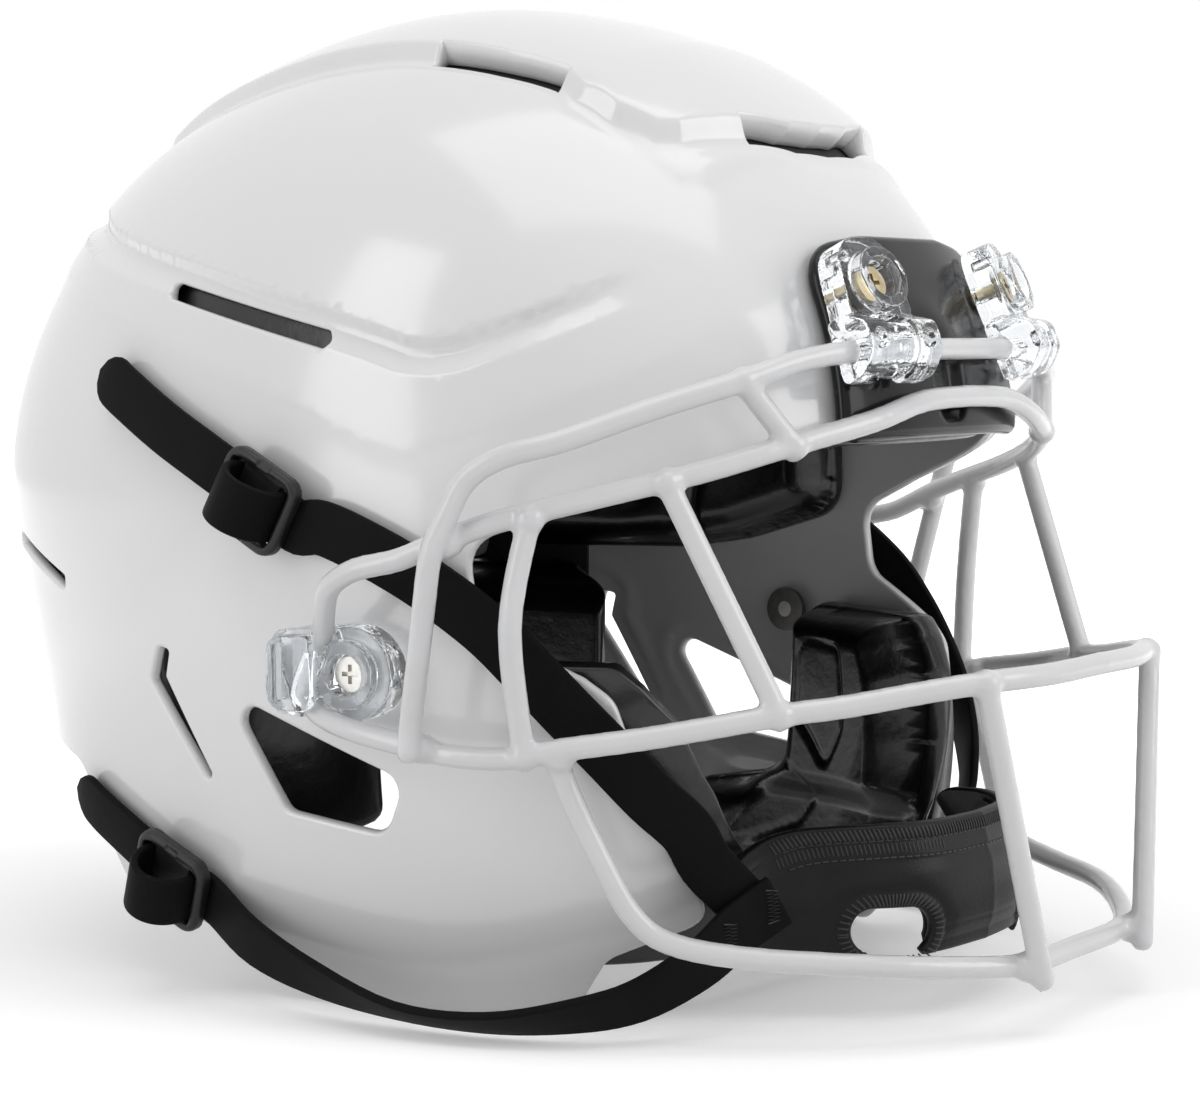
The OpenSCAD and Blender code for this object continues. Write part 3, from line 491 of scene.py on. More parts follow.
def moulding(points, tris, kept, outer, inner, lip, project=lambda p: p, steps=6):
    """A wall between two surfaces over a trimmed sheet, closed by lips that bulge by lip."""
    points, tris = used_only(*trim(points, tris, kept(points), project))
    top, bottom = outer(points), inner(points)
    size = len(points)
    edges = border(tris)
    ring = np.unique(np.array(edges))
    p = points[ring]
    slope = np.stack([kept(p + 0.2 * e) - kept(p - 0.2 * e) for e in np.eye(p.shape[1])], -1)
    a, b = top[ring], bottom[ring]
    away = unit(a - outer(p + 0.1 * unit(slope)))
    through = unit(b - a)
    away = unit(away - (away * through).sum(1)[:, None] * through)
    rings, extra = [ring], []
    for k in range(1, steps):
        w = math.pi * k / steps
        rings.append(2 * size + (k - 1) * len(ring) + np.arange(len(ring)))
        extra.append(a + (1 - math.cos(w)) / 2 * (b - a) + lip * math.sin(w) * away)
    rings.append(ring + size)
    index = {int(v): i for i, v in enumerate(ring)}
    walls = []
    for i, j in edges:
        i, j = index[i], index[j]
        for r0, r1 in zip(rings, rings[1:]):
            walls += [(r0[j], r0[i], r1[i]), (r0[j], r1[i], r1[j])]
    verts = np.concatenate([top, bottom] + extra)
    return verts, np.concatenate([tris, tris[:, ::-1] + size, np.array(walls)])


print("two triangles have", len(border(np.array([[0, 1, 2], [0, 2, 3]]))), "border edges")

# %% The shell
WALL = 4.0


def new_object(name, verts, faces, smooth=True):
    """A mesh object from points in metres."""
    mesh = bpy.data.meshes.new(name)
    mesh.from_pydata([tuple(v) for v in np.asarray(verts, float)], [],
                     [tuple(int(i) for i in f) for f in faces])
    mesh.validate()
    mesh.polygons.foreach_set("use_smooth", [smooth] * len(mesh.polygons))
    mesh.update()
    obj = bpy.data.objects.new(name, mesh)
    bpy.context.scene.collection.objects.link(obj)
    return obj


def inner_rim(p):
    """The low ridge round each opening, on the inside."""
    return 1.2 * bell(vent_distance(p), 6.5, 1.8)


verts, tris = moulding(points, tris, kept, lambda p: p + normal(p) * relief(p)[:, None],
                       lambda p: p - (WALL + inner_rim(p)[:, None]) * normal(p), LIP, from_head)
shell = new_object("helmet_shell", to_frame(verts), tris)
print("shell", len(verts), "points", len(tris), "triangles")

# %% [markdown]
# ## Writing finishes as sums
# A finish is a small sum: a base colour, some variation, a height for the bump. Placing nodes by hand
# hides that sum. The class below wraps a socket, so the sum is written as Python and each operator
# adds its own Math node. Colours go through Mix, because a Math node would turn them grey.

# %% Sockets that can be used in sums
class Wire:
    """A socket of a finish that can be used in sums."""

    def __init__(self, finish, socket):
        self.finish, self.socket = finish, socket

    def sum(self, operation, *values):
        return self.finish.node("ShaderNodeMath", {"operation": operation}, *values)

    def __add__(self, other):
        return self.sum("ADD", self, other)

    def __sub__(self, other):
        return self.sum("SUBTRACT", self, other)

    def __rsub__(self, other):
        return self.sum("SUBTRACT", other, self)

    def __mul__(self, other):
        return self.sum("MULTIPLY", self, other)

    __radd__, __rmul__ = __add__, __mul__


OPERATORS = ("add", "sub", "mul")
print("a socket knows", [name for name in vars(Wire) if name.strip("_").lstrip("r") in OPERATORS])

# %% A finish made of nodes
class Finish:
    """A material made of nodes around one surface shader."""

    def __init__(self, name, **constants):
        self.material = bpy.data.materials.new(name)
        self.material.use_nodes = True
        self.tree = self.material.node_tree
        self.tree.nodes.clear()
        out = self.tree.nodes.new("ShaderNodeOutputMaterial")
        self.surface = self.tree.nodes.new("ShaderNodeBsdfPrincipled")
        self.tree.links.new(self.surface.outputs[0], out.inputs["Surface"])
        self.set(**constants)

    def set(self, **values):
        """Sets or links sockets of the surface."""
        for name, value in values.items():
            self.plug(self.surface.inputs[name.replace("_", " ")], value)
        return self

    def plug(self, socket, value):
        if isinstance(value, Wire):
            self.tree.links.new(value.socket, socket)
        elif isinstance(value, (tuple, list)) and socket.type == "RGBA" and len(value) == 3:
            socket.default_value = (*value, 1)
        else:
            socket.default_value = value

    def node(self, kind, settings, *ordered, output=0, **named):
        """Adds a node: its type, its settings, then the values or links of its sockets."""
        made = self.tree.nodes.new(kind)
        for name, value in settings.items():
            setattr(made, name, value)
        for socket, value in zip(made.inputs, ordered):
            self.plug(socket, value)
        for name, value in named.items():
            self.plug(made.inputs[name.replace("_", " ")], value)
        return Wire(self, made.outputs[output])

    def place(self):
        return self.node("ShaderNodeTexCoord", {}, output="Object")

    def noise(self, scale, detail=2.0, roughness=0.5, stretch=None):
        at = self.place()
        if stretch:
            at = self.node("ShaderNodeVectorMath", {"operation": "MULTIPLY"}, at, stretch)
        return self.node("ShaderNodeTexNoise", {}, Vector=at, Scale=scale, Detail=detail,
                         Roughness=roughness)

    def between(self, share, low, high):
        """A colour between two, by a share."""
        return self.node("ShaderNodeMix", {"data_type": "RGBA"}, output="Result",
                         **{"Factor": share, "A": (*low, 1), "B": (*high, 1)})

    def bump(self, height, distance):
        """Raises the surface by a height, over a distance in metres."""
        return self.set(Normal=self.node("ShaderNodeBump", {}, Height=height, Distance=distance,
                                         Strength=1.0))


print("a finish can", [name for name in vars(Finish) if not name.startswith("_")])

# %% Dressing a piece
def wear(obj, finish, body="helmet", nodes=(), fill=None):
    """Gives a piece its finish and its body, and hides the plain solids that it stands for; fill only
    refreshes the scene.
    """
    obj.data.materials.clear()
    obj.data.materials.append(finish.material)
    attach(obj, body)
    if nodes:
        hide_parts(*nodes)
    if fill:
        bpy.context.view_layer.update()
    print(f"{obj.name}: {len(obj.data.polygons)} faces in {finish.material.name}, on {body}")


def mirror_copy(obj):
    """The same piece on the other side of the helmet."""
    mesh = obj.data.copy()
    mesh.transform(Matrix.Diagonal((-1, 1, 1, 1)))
    mesh.flip_normals()
    other = bpy.data.objects.new(obj.name.replace("left", "right"), mesh)
    bpy.context.scene.collection.objects.link(other)
    return other


def both_sides(left, finish, body="helmet", nodes=(), fill=None):
    """Dresses a left piece, and its mirror copy on the right."""
    for side, obj in (("left", left), ("right", mirror_copy(left))):
        wear(obj, finish, body.replace("left", side),
             [node.replace("left", side) for node in nodes], fill)


print("plain solids in the frame", len(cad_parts))

# %% [markdown]
# ## White gloss for the shell
# Moulded polycarbonate is nearly even in colour. What shows that it is plastic is the gloss: a clear
# surface with a faint waviness from the mould, and a little less gloss where hands rub it. A coat
# over a slightly rougher base gives both, with slow noise for the rubbing and fine noise for dust.

# %% Shell finish
gloss_white = Finish("shell_white_gloss", Coat_Roughness=0.1, Coat_IOR=1.5, IOR=1.5,
                     Specular_IOR_Level=0.5)
cloud = gloss_white.noise(9, 3)
speck = gloss_white.noise(420, 4, 0.7)
gloss_white.set(Base_Color=gloss_white.between(cloud, (0.74, 0.74, 0.75), (0.79, 0.79, 0.795)),
                Roughness=0.12 + 0.08 * cloud + 0.05 * speck, Coat_Weight=0.4 + 0.2 * cloud)
gloss_white.bump(gloss_white.noise(60, 2), 0.00006)
wear(shell, gloss_white, nodes=["shell"])

# %% [markdown]
# ## Front bumper
# A thick glossy black plate covers the brow and wraps under the edge of the shell. It could be pressed
# out of a block, but its back has to lie on the skin. So it is a wall over the same skin, trimmed to
# its own outline, with edges that bulge. A low beak with a hollow under it breaks its lower middle.

# %% Flat grids
def sheet(u, v, step):
    """A flat grid of triangles over two ranges."""
    a = np.linspace(*u, int(math.ceil((u[1] - u[0]) / step)) + 1)
    b = np.linspace(*v, int(math.ceil((v[1] - v[0]) / step)) + 1)
    x, y = np.meshgrid(a, b, indexing="ij")
    i, j = np.meshgrid(np.arange(len(a) - 1), np.arange(len(b) - 1), indexing="ij")
    k = (i * len(b) + j).ravel()
    n = len(b)
    tris = np.concatenate([np.stack([k, k + n, k + n + 1], -1), np.stack([k, k + n + 1, k + 1], -1)])
    return np.stack([x.ravel(), y.ravel()], -1), tris


print("a sheet of 10 by 5 mm has", len(sheet((0, 10), (0, 5), 1)[1]), "triangles")

# %% Outline and thickness of the bumper
BUMPER_LIP, BUMPER_THICK, BEAK_HIGH, HOLLOW_DEEP = 2.6, 5.9, 2.6, 3.4


def brow_edge(y):
    """Height of the shell's front edge at a depth."""
    return np.interp(y, [-230, -150, -94], [30, 17, -3])


foot = [(x, float(brow_edge(on_front(x, 14)[1])) - 3.2, 0) for x in np.linspace(-50, 50, 15)]
foot[0], foot[-1] = (*foot[0][:2], 5), (*foot[-1][:2], 5)
bumper_outline = rounded(foot + [(45, 65, 14), (22, 68.5, 30), (-22, 68.5, 30), (-45, 65, 14)])
hollow = rounded([(-9, 37, 3), (9, 37, 3), (6.5, 19, 4), (-6.5, 19, 4)])


def bumper_kept(p):
    return -polygon_distance(p, bumper_outline) - BUMPER_LIP


def bumper_height(p):
    x, z = p[:, 0], p[:, 1]
    beak = BEAK_HIGH * bell(x, 0, 11) * ramp(z, 34, 38.5) * ramp(z, 54, 40)
    return BUMPER_THICK + beak - HOLLOW_DEEP * ramp(polygon_distance(p, hollow), 0.8, -2)


print("bumper outline", bumper_outline.min(0).round(1), "to", bumper_outline.max(0).round(1), "mm")

# %% The bumper
def over_brow(height):
    """A surface at a height over the skin of the brow."""
    def at(p):
        q = on_front(p[:, 0], p[:, 1])
        return q + normal(q) * (height(p) if callable(height) else height)[..., None]
    return at


points, tris = sheet((-52, 52), (0, 72), 1.3)
verts, tris = moulding(points, tris, bumper_kept, over_brow(bumper_height), over_brow(np.array(0.4)),
                       2.4, steps=8)
bumper = new_object("front_bumper_plate", to_frame(verts), tris[:, ::-1])
print("bumper", len(verts), "points")

# %% [markdown]
# ## Black gloss for the bumper
# The plate is hard black plastic with a polished face. Black gloss looks grey as soon as it reflects
# too much, so the base is nearly black, the gloss is held low, and smears of hands vary it.

# %% Bumper finish
gloss_black = Finish("bumper_black_gloss", Coat_Roughness=0.05, IOR=1.5, Specular_IOR_Level=0.15)
smear = gloss_black.noise(35, 4, 0.6)
gloss_black.set(Base_Color=gloss_black.between(smear, (0.003, 0.003, 0.004), (0.006, 0.006, 0.007)),
                Roughness=0.16 + 0.16 * smear, Coat_Weight=0.12 + 0.1 * smear)
gloss_black.bump(gloss_black.noise(90, 2), 0.00005)
wear(bumper, gloss_black, nodes=["front_bumper"])

# %% [markdown]
# ## Face guard
# The guard is steel wire bent to shape, welded where the wires cross, and dipped in a thick coating
# that fills each corner with a soft fillet. Curves with a round bevel would cross without fillets.
# Swept tubes with a bead at each weld are merged into one skin and smoothed, as the dip does.

# %% Wires of the guard, from the middle of the front to the left side
SIDE, FRONT, BROW, CHIN = 137.0, -201.0, -159.0, -124.0
LOOP = [(SIDE - 1, -46, -23), (SIDE - 6, -40, -31), (SIDE - 12, -35, -39), (SIDE - 13, -31, -47)]
TOP_BAR = [(0, BROW, 39), (30, BROW, 39), (54, BROW + 3, 38.5), (72, BROW + 9, 36),
           (89, BROW + 16, 31), (108, -128, 24), (SIDE - 13, -111, 16), (SIDE - 6, -98, 12),
           (SIDE - 2.5, -89, 6), (SIDE - 0.5, -84.5, -3), (SIDE + 1.5, -81, -12),
           (SIDE + 0.5, -78, -25), (SIDE - 1, -75, -39), (SIDE - 3, -71, -56), (SIDE - 3, -70, -66)]
EYE_BAR = [(0, BROW - 4, 26), (25, BROW - 3, 25), (48, BROW, 20), (76, BROW + 10, 14), (96, -136, 8),
           (114, -117, 2), (SIDE - 10.5, -96, -4), (SIDE - 5.5, -82, -9), (SIDE - 2, -68, -15),
           (SIDE - 0.5, -55, -18)] + LOOP
MID_BAR = [(0, FRONT - 2, -46), (27, FRONT, -46.5), (50, FRONT + 7, -47), (65, FRONT + 18, -49),
           (79, FRONT + 32, -52), (91, -156, -54), (103, -142, -57), (112, -127, -60),
           (120, -109, -63), (SIDE - 13, -94, -66), (SIDE - 10, -78, -66), (SIDE - 9.5, -62, -64),
           (SIDE - 9.5, -46, -61.5), (SIDE - 11, -34, -58), (SIDE - 13, -29, -53.5), LOOP[3]]
JAW_BAR = [(0, FRONT + 4, CHIN), (31, FRONT + 5, CHIN), (54, FRONT + 15, CHIN + 2),
           (76, FRONT + 32, CHIN + 4.5), (92, FRONT + 55, CHIN + 6.5), (101, FRONT + 72, CHIN + 10),
           (107, FRONT + 80, CHIN + 18), (112, -114, -90), (115, -108, -76), (117.5, -105, -66)]
EYE_STRUT = [(104, -130, 5.5), (91, -156, -54)]
SIDE_STRUT = [(SIDE - 12, -102, -4), (SIDE - 9, -98, -32), (SIDE - 14, -99, -65)]
BROW_STRUT = [(88, BROW + 16, 31), (74, BROW + 9, 14)]
FRONT_POST = [(52, FRONT + 6, -47), (32, FRONT - 1.5, CHIN - 4)]
WELDS = [((SIDE - 4, -82, -10), 4.6), ((SIDE - 8, -71, -64.5), 4.4), ((118.5, -107, -65), 4.6),
         (EYE_STRUT[0], 4.2), (EYE_STRUT[1], 4.4), (SIDE_STRUT[0], 4.2), (SIDE_STRUT[2], 4.4),
         (BROW_STRUT[0], 4.2), (BROW_STRUT[1], 4.2), ((51, FRONT + 6.5, -47.5), 4.4),
         ((33, FRONT + 3, CHIN), 4.4), ((SIDE - 13, -31, -48), 3.6)]
print("four bars, four kinds of strut and", len(WELDS), "welds a side")

# %% Tubes and beads
def tube(path, radius, sides=12, round_ends=True):
    """A round wire along a path."""
    path = np.asarray(path, float)
    way = unit(np.gradient(path, axis=0))
    across = [unit(np.cross(way[0], [0, 0, 1] if abs(way[0][2]) < 0.9 else [0, 1, 0]))]
    for w in way[1:]:
        across.append(unit(across[-1] - (across[-1] @ w) * w))
    across = np.array(across)
    up = np.cross(way, across)
    radius = np.broadcast_to(np.asarray(radius, float), len(path)).copy()
    if round_ends:
        path = np.concatenate([[path[0] - way[0] * radius[0] * 0.6], path,
                               [path[-1] + way[-1] * radius[-1] * 0.6]])
        radius = np.concatenate([[radius[0] * 0.6], radius, [radius[-1] * 0.6]])
        across = np.concatenate([across[:1], across, across[-1:]])
        up = np.concatenate([up[:1], up, up[-1:]])
    turn = 2 * np.pi * np.arange(sides) / sides
    ring = np.cos(turn)[:, None, None] * across + np.sin(turn)[:, None, None] * up
    verts = (path + radius[:, None] * ring).transpose(1, 0, 2).reshape(-1, 3)
    return verts, tube_faces(len(path), sides)


def tube_faces(rows, sides):
    """Faces between rows of points, with a cap at each end."""
    faces = [(i * sides + j, i * sides + (j + 1) % sides, (i + 1) * sides + (j + 1) % sides,
              (i + 1) * sides + j) for i in range(rows - 1) for j in range(sides)]
    return faces + [tuple(range(sides))[::-1], tuple((rows - 1) * sides + j for j in range(sides))]


def ball(centre, radius, rings=6):
    s = np.linspace(-0.98, 0.98, rings)
    path = np.asarray(centre, float) + np.outer(s * radius, [0, 0, 1])
    return tube(path, radius * np.sqrt(1 - s * s), round_ends=False)


print("a bead has", len(ball((0, 0, 0), 4)[1]), "faces")

# %% Many parts as one, and mirrored parts
def joined(parts):
    """Several (verts, faces) as one."""
    verts, faces, n = [], [], 0
    for v, f in parts:
        verts.append(np.asarray(v, float))
        faces += [tuple(int(i) + n for i in face) for face in f]
        n += len(v)
    return np.concatenate(verts), faces


def mirrored(part):
    v, f = part
    return np.asarray(v, float) * [-1, 1, 1], [tuple(face[::-1]) for face in f]


def both_ways(bar):
    """A bar that is drawn from the middle, carried through to its other side."""
    half = smooth_path(bar)
    return np.concatenate([(half * [-1, 1, 1])[:0:-1], half])


print("the top bar is drawn with", len(both_ways(TOP_BAR)), "points")

# %% Modifiers that are kept
def settle(obj, *steps):
    """Adds modifiers in turn and keeps their result as the mesh."""
    for kind, settings in steps:
        m = obj.modifiers.new(kind.lower(), kind)
        for name, value in settings.items():
            setattr(m, name, value)
    graph = bpy.context.evaluated_depsgraph_get()
    mesh = bpy.data.meshes.new_from_object(obj.evaluated_get(graph))
    obj.modifiers.clear()
    old = obj.data
    obj.data = mesh
    bpy.data.meshes.remove(old)
    mesh.polygons.foreach_set("use_smooth", [True] * len(mesh.polygons))
    return obj


def soften(voxel, turns):
    """Steps that fuse what overlaps and round each corner."""
    return [("REMESH", {"mode": "VOXEL", "voxel_size": voxel * MM}),
            ("SMOOTH", {"factor": 0.5, "iterations": turns})]


print("steps of a softening", [kind for kind, settings in soften(1, 1)])

# %% The guard
COATED = 3.18
parts = [tube(both_ways(bar), COATED) for bar in (TOP_BAR, EYE_BAR, MID_BAR, JAW_BAR)]
halves = [tube(smooth_path(strut, 6), COATED)
          for strut in (EYE_STRUT, SIDE_STRUT, BROW_STRUT, FRONT_POST)]
halves += [ball(centre, radius) for centre, radius in WELDS]
for half in halves:
    parts += [half, mirrored(half)]
verts, faces = joined(parts)
guard = settle(new_object("face_guard", to_frame(verts), faces), *soften(0.9, 5))
print("guard", len(parts), "parts fused")

# %% [markdown]
# ## Dipped coating
# The coating is a soft light grey plastic that runs a little before it sets. Stretched noise gives
# slow runs in colour and gloss, and a faint bump keeps the wires from looking machined.

# %% Guard finish
dip_coat = Finish("guard_dip_coating", Coat_Roughness=0.05, IOR=1.5)
runs = dip_coat.noise(25, 3, 0.6, (1, 1, 2.5))
dip_coat.set(Base_Color=dip_coat.between(runs, (0.64, 0.64, 0.65), (0.72, 0.72, 0.73)),
             Roughness=0.24 + 0.14 * runs, Coat_Weight=0.35 + 0.25 * runs)
dip_coat.bump(dip_coat.noise(110, 3), 0.00012)
wear(guard, dip_coat,
     nodes=["mask_top_bar", "mask_eye_bar", "mask_mid_bar", "mask_jaw_bar", "mask_front_posts",
            "mask_eye_struts", "mask_side_struts", "mask_brow_struts"])

# %% [markdown]
# ## Places on the skin
# Clips, buckles and snaps all sit on the shell. Modelling them in place would mean working at odd
# angles, so each is made flat in its own small frame and then turned to the skin: x towards a
# heading, z along the skin's normal.

# %% Seats
def seat(q, heading):
    """A function from millimetres in the local frame at q to the head's frame."""
    n = normal(q)
    y = unit(np.cross(n, heading))
    x = np.cross(y, n)

    def at(p):
        p = np.asarray(p, float)
        return q + p[..., :1] * x + p[..., 1:2] * y + p[..., 2:3] * n
    return at


front_screw, side_screw = on_front(37, 51), on_side(-43, -47)
upper_stud, lower_stud = on_side(-10, -2), on_side(26, -109)
at_front, at_side_clip = seat(front_screw, [0, 0, 1]), seat(side_screw, [0, 1, 0])
print("front screw", front_screw.round(1), "side screw", side_screw.round(1))

# %% Simple strokes
UPRIGHT, ON_EDGE = (0, 1, 2), (0, 2, 1)


def prism(outline, low, high, axes=UPRIGHT):
    """An outline pushed from low to high; axes says which local axes it lies in."""
    outline = np.asarray(outline, float)
    n = len(outline)
    flat = np.concatenate([np.c_[outline, np.full(n, low)], np.c_[outline, np.full(n, high)]])
    verts = np.zeros_like(flat)
    verts[:, list(axes)] = flat
    faces = [tuple(range(n))[::-1], tuple(range(n, 2 * n))]
    faces += [(i, (i + 1) % n, (i + 1) % n + n, i + n) for i in range(n)]
    x, y = outline.T
    if (np.sum(x * np.roll(y, -1) - np.roll(x, -1) * y) < 0) != (axes == ON_EDGE):
        faces = [f[::-1] for f in faces]
    return verts, faces


def disc(x, y, radius, low, high, sides=48):
    turn = 2 * np.pi * np.arange(sides) / sides
    return prism(np.c_[x + radius * np.cos(turn), y + radius * np.sin(turn)], low, high)


print("a disc has", len(disc(0, 0, 1, 0, 1)[1]), "faces")

# %% Strokes joined, cut and softened
def carved(name, adds, cuts, at, voxel):
    """Strokes joined and cut in a local frame, then softened like a moulding."""
    strokes = [new_object(f"{name}_stroke_{k}", to_frame(at(v)), f, smooth=False)
               for k, (v, f) in enumerate(adds + cuts)]
    obj, others = strokes[0], strokes[1:]
    obj.name = name
    steps = [("BOOLEAN", {"operation": "UNION" if k < len(adds) - 1 else "DIFFERENCE",
                          "solver": "MANIFOLD", "object": other}) for k, other in enumerate(others)]
    settle(obj, *steps, *soften(voxel, 3))
    for other in others:
        mesh = other.data
        bpy.data.objects.remove(other)
        bpy.data.meshes.remove(mesh)
    print(name, "from", len(adds), "strokes and", len(cuts), "cuts")
    return obj


# %% [markdown]
# ## Clear plastic
# The guard hangs in four clips of clear polycarbonate. An even clear block vanishes against white. It
# only reads as plastic when something inside bends the light, so the finish is plain and a little
# wavy, and the clips get their real wells, channels and pockets as geometry.

# %% Clear finish
clear = Finish("clip_clear_plastic", Base_Color=(0.93, 0.95, 0.97), Transmission_Weight=1.0, IOR=1.5)
clear.set(Roughness=0.02 + 0.05 * clear.noise(260, 2))
clear.bump(clear.noise(140, 3, 0.6), 0.00025)
print("finish", clear.material.name)

# %% [markdown]
# ## Clips
# A clip is a block for its screw and a barrel that grips the wire. Simple strokes are joined, then the
# wire's channel, the screw's well and the pockets that a mould needs are cut out, and the whole is
# softened. Booleans suit it, because each cut is a real one.

# %% What every clip has cut out of it
THROUGH, WELL, BORE = 30, 5.7, 2.7


def wire_channel(at, wire, radius):
    """The channel round a wire of the guard, in the clip's own frame."""
    zero = at([0, 0, 0])
    axes = np.stack([at(e) - zero for e in np.eye(3)], 1)
    return tube((wire - zero) @ np.linalg.inv(axes).T, radius, 20)


def screw_well(floor, below):
    return [disc(0, 0, WELL, floor, THROUGH), disc(0, 0, BORE, below, THROUGH)]


print("a screw's well is", 2 * WELL, "mm wide and its bore", 2 * BORE, "mm")

# %% Front clips
block = rounded([(13.5, 10.5, 9.5), (13.5, -10.5, 9.5), (-12, -12.5, 5), (-12, 12.5, 5)])
barrel = rounded([(-26.5, 6.9, 2), (-26.5, 14.5, 6.5), (-21, 20.4, 5), (-13, 20.4, 4), (-8.5, 13, 3),
                  (-8.5, 6.9, 2)])
BARREL_MIDDLE, WAIST = [-18, 12.6], 0.86
waist = np.array(BARREL_MIDDLE) + (barrel - BARREL_MIDDLE) * WAIST
front_clip = carved(
    "front_clip_left_clear",
    [prism(block, 6.7, 15), prism(barrel, -14, -5.2, ON_EDGE), prism(barrel, 5.2, 14, ON_EDGE),
     prism(waist, -5.4, 5.4, ON_EDGE), disc(0, 0, 8.8, 14.9, 19.5)],
    [wire_channel(at_front, smooth_path(TOP_BAR)[:14], 3.42), *screw_well(12.4, 0),
     prism(oblong(-12, -9.3, -6, 6, 1.2), 9, THROUGH)]
    + [disc(7.5, y, 1.5, 9, THROUGH) for y in (8.2, -8.2)]
    + [disc(-18, y, 2.4, 18, THROUGH) for y in (9.6, -9.6)],
    at_front, 0.42)
both_sides(front_clip, clear, nodes=["front_clip_left"])

# %% Side clips
hook = np.concatenate([smooth_path(EYE_BAR)[-26:], smooth_path(MID_BAR)[-2:-30:-1]])
heel = rounded([(23.5, 11.2, 4), (23.5, -11.2, 4), (2, -12.8, 3), (2, 12.8, 3)])
heel_step = rounded([(23, 9.6, 4), (23, -9.6, 4), (9, -10.4, 3), (9, 10.4, 3)])
side_clip = carved(
    "side_clip_left_clear",
    [disc(0, 0, 12.8, 0.7, 9.5), prism(heel, 0.7, 12), disc(0, 0, 9.2, 9.4, 12.8),
     prism(heel_step, 11.9, 15.2)],
    [wire_channel(at_side_clip, hook, 3.45), *screw_well(6.6, -5),
     prism(oblong(18.2, 21, -8, 8, 1.4), 4, THROUGH)]
    + [prism(oblong(6.4, 9.5, y, y + 4, 1), 5, THROUGH) for y in (5.4, -9.4)],
    at_side_clip, 0.42)
both_sides(side_clip, clear, nodes=["side_clip_left"])

# %% [markdown]
# ## Screws, nuts and snap studs
# The plain solids of the fasteners already have the right shape, so they stay and only get a finish:
# plated steel with fine turning lines and a little tarnish. One helper makes all three platings.

# %% Plated steel
def plated(name, low, high):
    made = Finish(name, Metallic=1.0)
    tarnish = made.noise(380, 4, 0.65)
    made.set(Base_Color=made.between(tarnish, low, high), Roughness=0.22 + 0.2 * tarnish)
    made.bump(made.noise(1500, 2, 0.5, (1, 1, 0.2)), 0.00002)
    return made


brass_plate = plated("screw_brass_plate", (0.42, 0.34, 0.20), (0.66, 0.57, 0.38))
zinc_plate = plated("fastener_zinc_plate", (0.42, 0.41, 0.39), (0.66, 0.65, 0.62))
dark_plate = plated("snap_dark_plate", (0.10, 0.10, 0.10), (0.22, 0.21, 0.20))
PLATING = ((["front_clip_screws"], brass_plate),
           (["side_clip_screws", "front_clip_nuts", "snap_stud_nuts"], zinc_plate),
           (["side_clip_nuts", "snap_studs", "upper_snap_left", "upper_snap_right",
             "lower_snap_left", "lower_snap_right"], dark_plate))
for names, finish in PLATING:
    for name in names:
        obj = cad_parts[name]
        obj.data.materials.clear()
        obj.data.materials.append(finish.material)
    print(finish.material.name, "on", ", ".join(names))

# %% [markdown]
# ## Chin straps
# The straps are coated webbing 15 mm wide. A cloth simulation would have to be tamed at both ends, and
# a strap under tension is nearly a plain curve. So it is swept: a rounded oblong carried along
# stations, which say where it lies and which way its face looks. Each strap runs under the front bar
# of its buckle, and its free end loops over the buckle and lies back on the shell.

# %% Sizes of the straps, and stations on the skin, by a snap and on the cup
STRAP_W, STRAP_T, GAP = 15.0, 2.4, 0.3
BUCKLE_Z, BUCKLE_TOP = 4.6, 8.8
SLOT_S = 8.8
STRAP_LIFT = BUCKLE_Z - STRAP_T / 2 - GAP
UPPER_WAY, LOWER_WAY = np.array([0, -0.88, -0.48]), np.array([0, -0.91, -0.41])
WING = np.array([0.514, -0.857, 0])
CUP = [(0, 64), (24, 60.5), (40, 49), (49, 36), (56, 27.5), (66, 21.5)]
SWING_Y, SWING_Z = -108.0, -112.0


def laid(y, z, lift):
    """A station on the shell: a point, a facing and the share of the strap's width."""
    q = on_side(y, z)
    n = normal(q)
    return [*(q + lift * n), *n, 1.0]


def by_snap(q, way, s, lift, turn=0.0):
    """A station at s along way from a stud, with its face turned over."""
    n = normal(q)
    x = np.cross(unit(np.cross(n, way)), n)
    t = math.radians(turn)
    return [*(q + s * x + lift * n), *(math.cos(t) * n + math.sin(t) * x), 1.0]


def on_wing(x, z, layer):
    """A station on the wing of the cup, in the first or second layer."""
    (x0, y0), (x1, y1) = CUP[4], CUP[5]
    y = SWING_Y - (y0 + (y1 - y0) * (x - x0) / (x1 - x0))
    p = np.array([x, y, z]) + ((layer + 0.5) * (STRAP_T + GAP) + GAP) * WING
    return [*p, *WING, 1.0]


print("a strap leaves its buckle", round(STRAP_LIFT, 2), "mm over the shell")

# %% Sweeping a band
def band(stations, edge=0.8):
    """A flat strap with soft edges along stations."""
    s = np.asarray(stations, float)
    p, face, share = s[:, :3], unit(s[:, 3:6]), s[:, 6]
    along = unit(np.gradient(p, axis=0))
    across = unit(np.cross(face, along))
    up = np.cross(along, across)
    w, t = STRAP_W / 2, STRAP_T / 2
    corner = [(math.cos(a), math.sin(a)) for a in np.radians([0, 30, 60, 90])]
    ring = []
    for sx, sy in ((1, 1), (-1, 1), (-1, -1), (1, -1)):
        arc = [(sx * (w - edge + edge * c), sy * (t - edge + edge * d)) for c, d in corner]
        ring += arc if sx * sy > 0 else arc[::-1]
    ring = np.array(ring)
    x = np.sign(ring[:, 0]) * np.maximum(np.abs(ring[:, 0]) - w * (1 - share[:, None]), 0.05)
    verts = p[:, None] + x[..., None] * across[:, None] + ring[None, :, 1:] * up[:, None]
    return verts.reshape(-1, 3), tube_faces(len(s), len(ring))


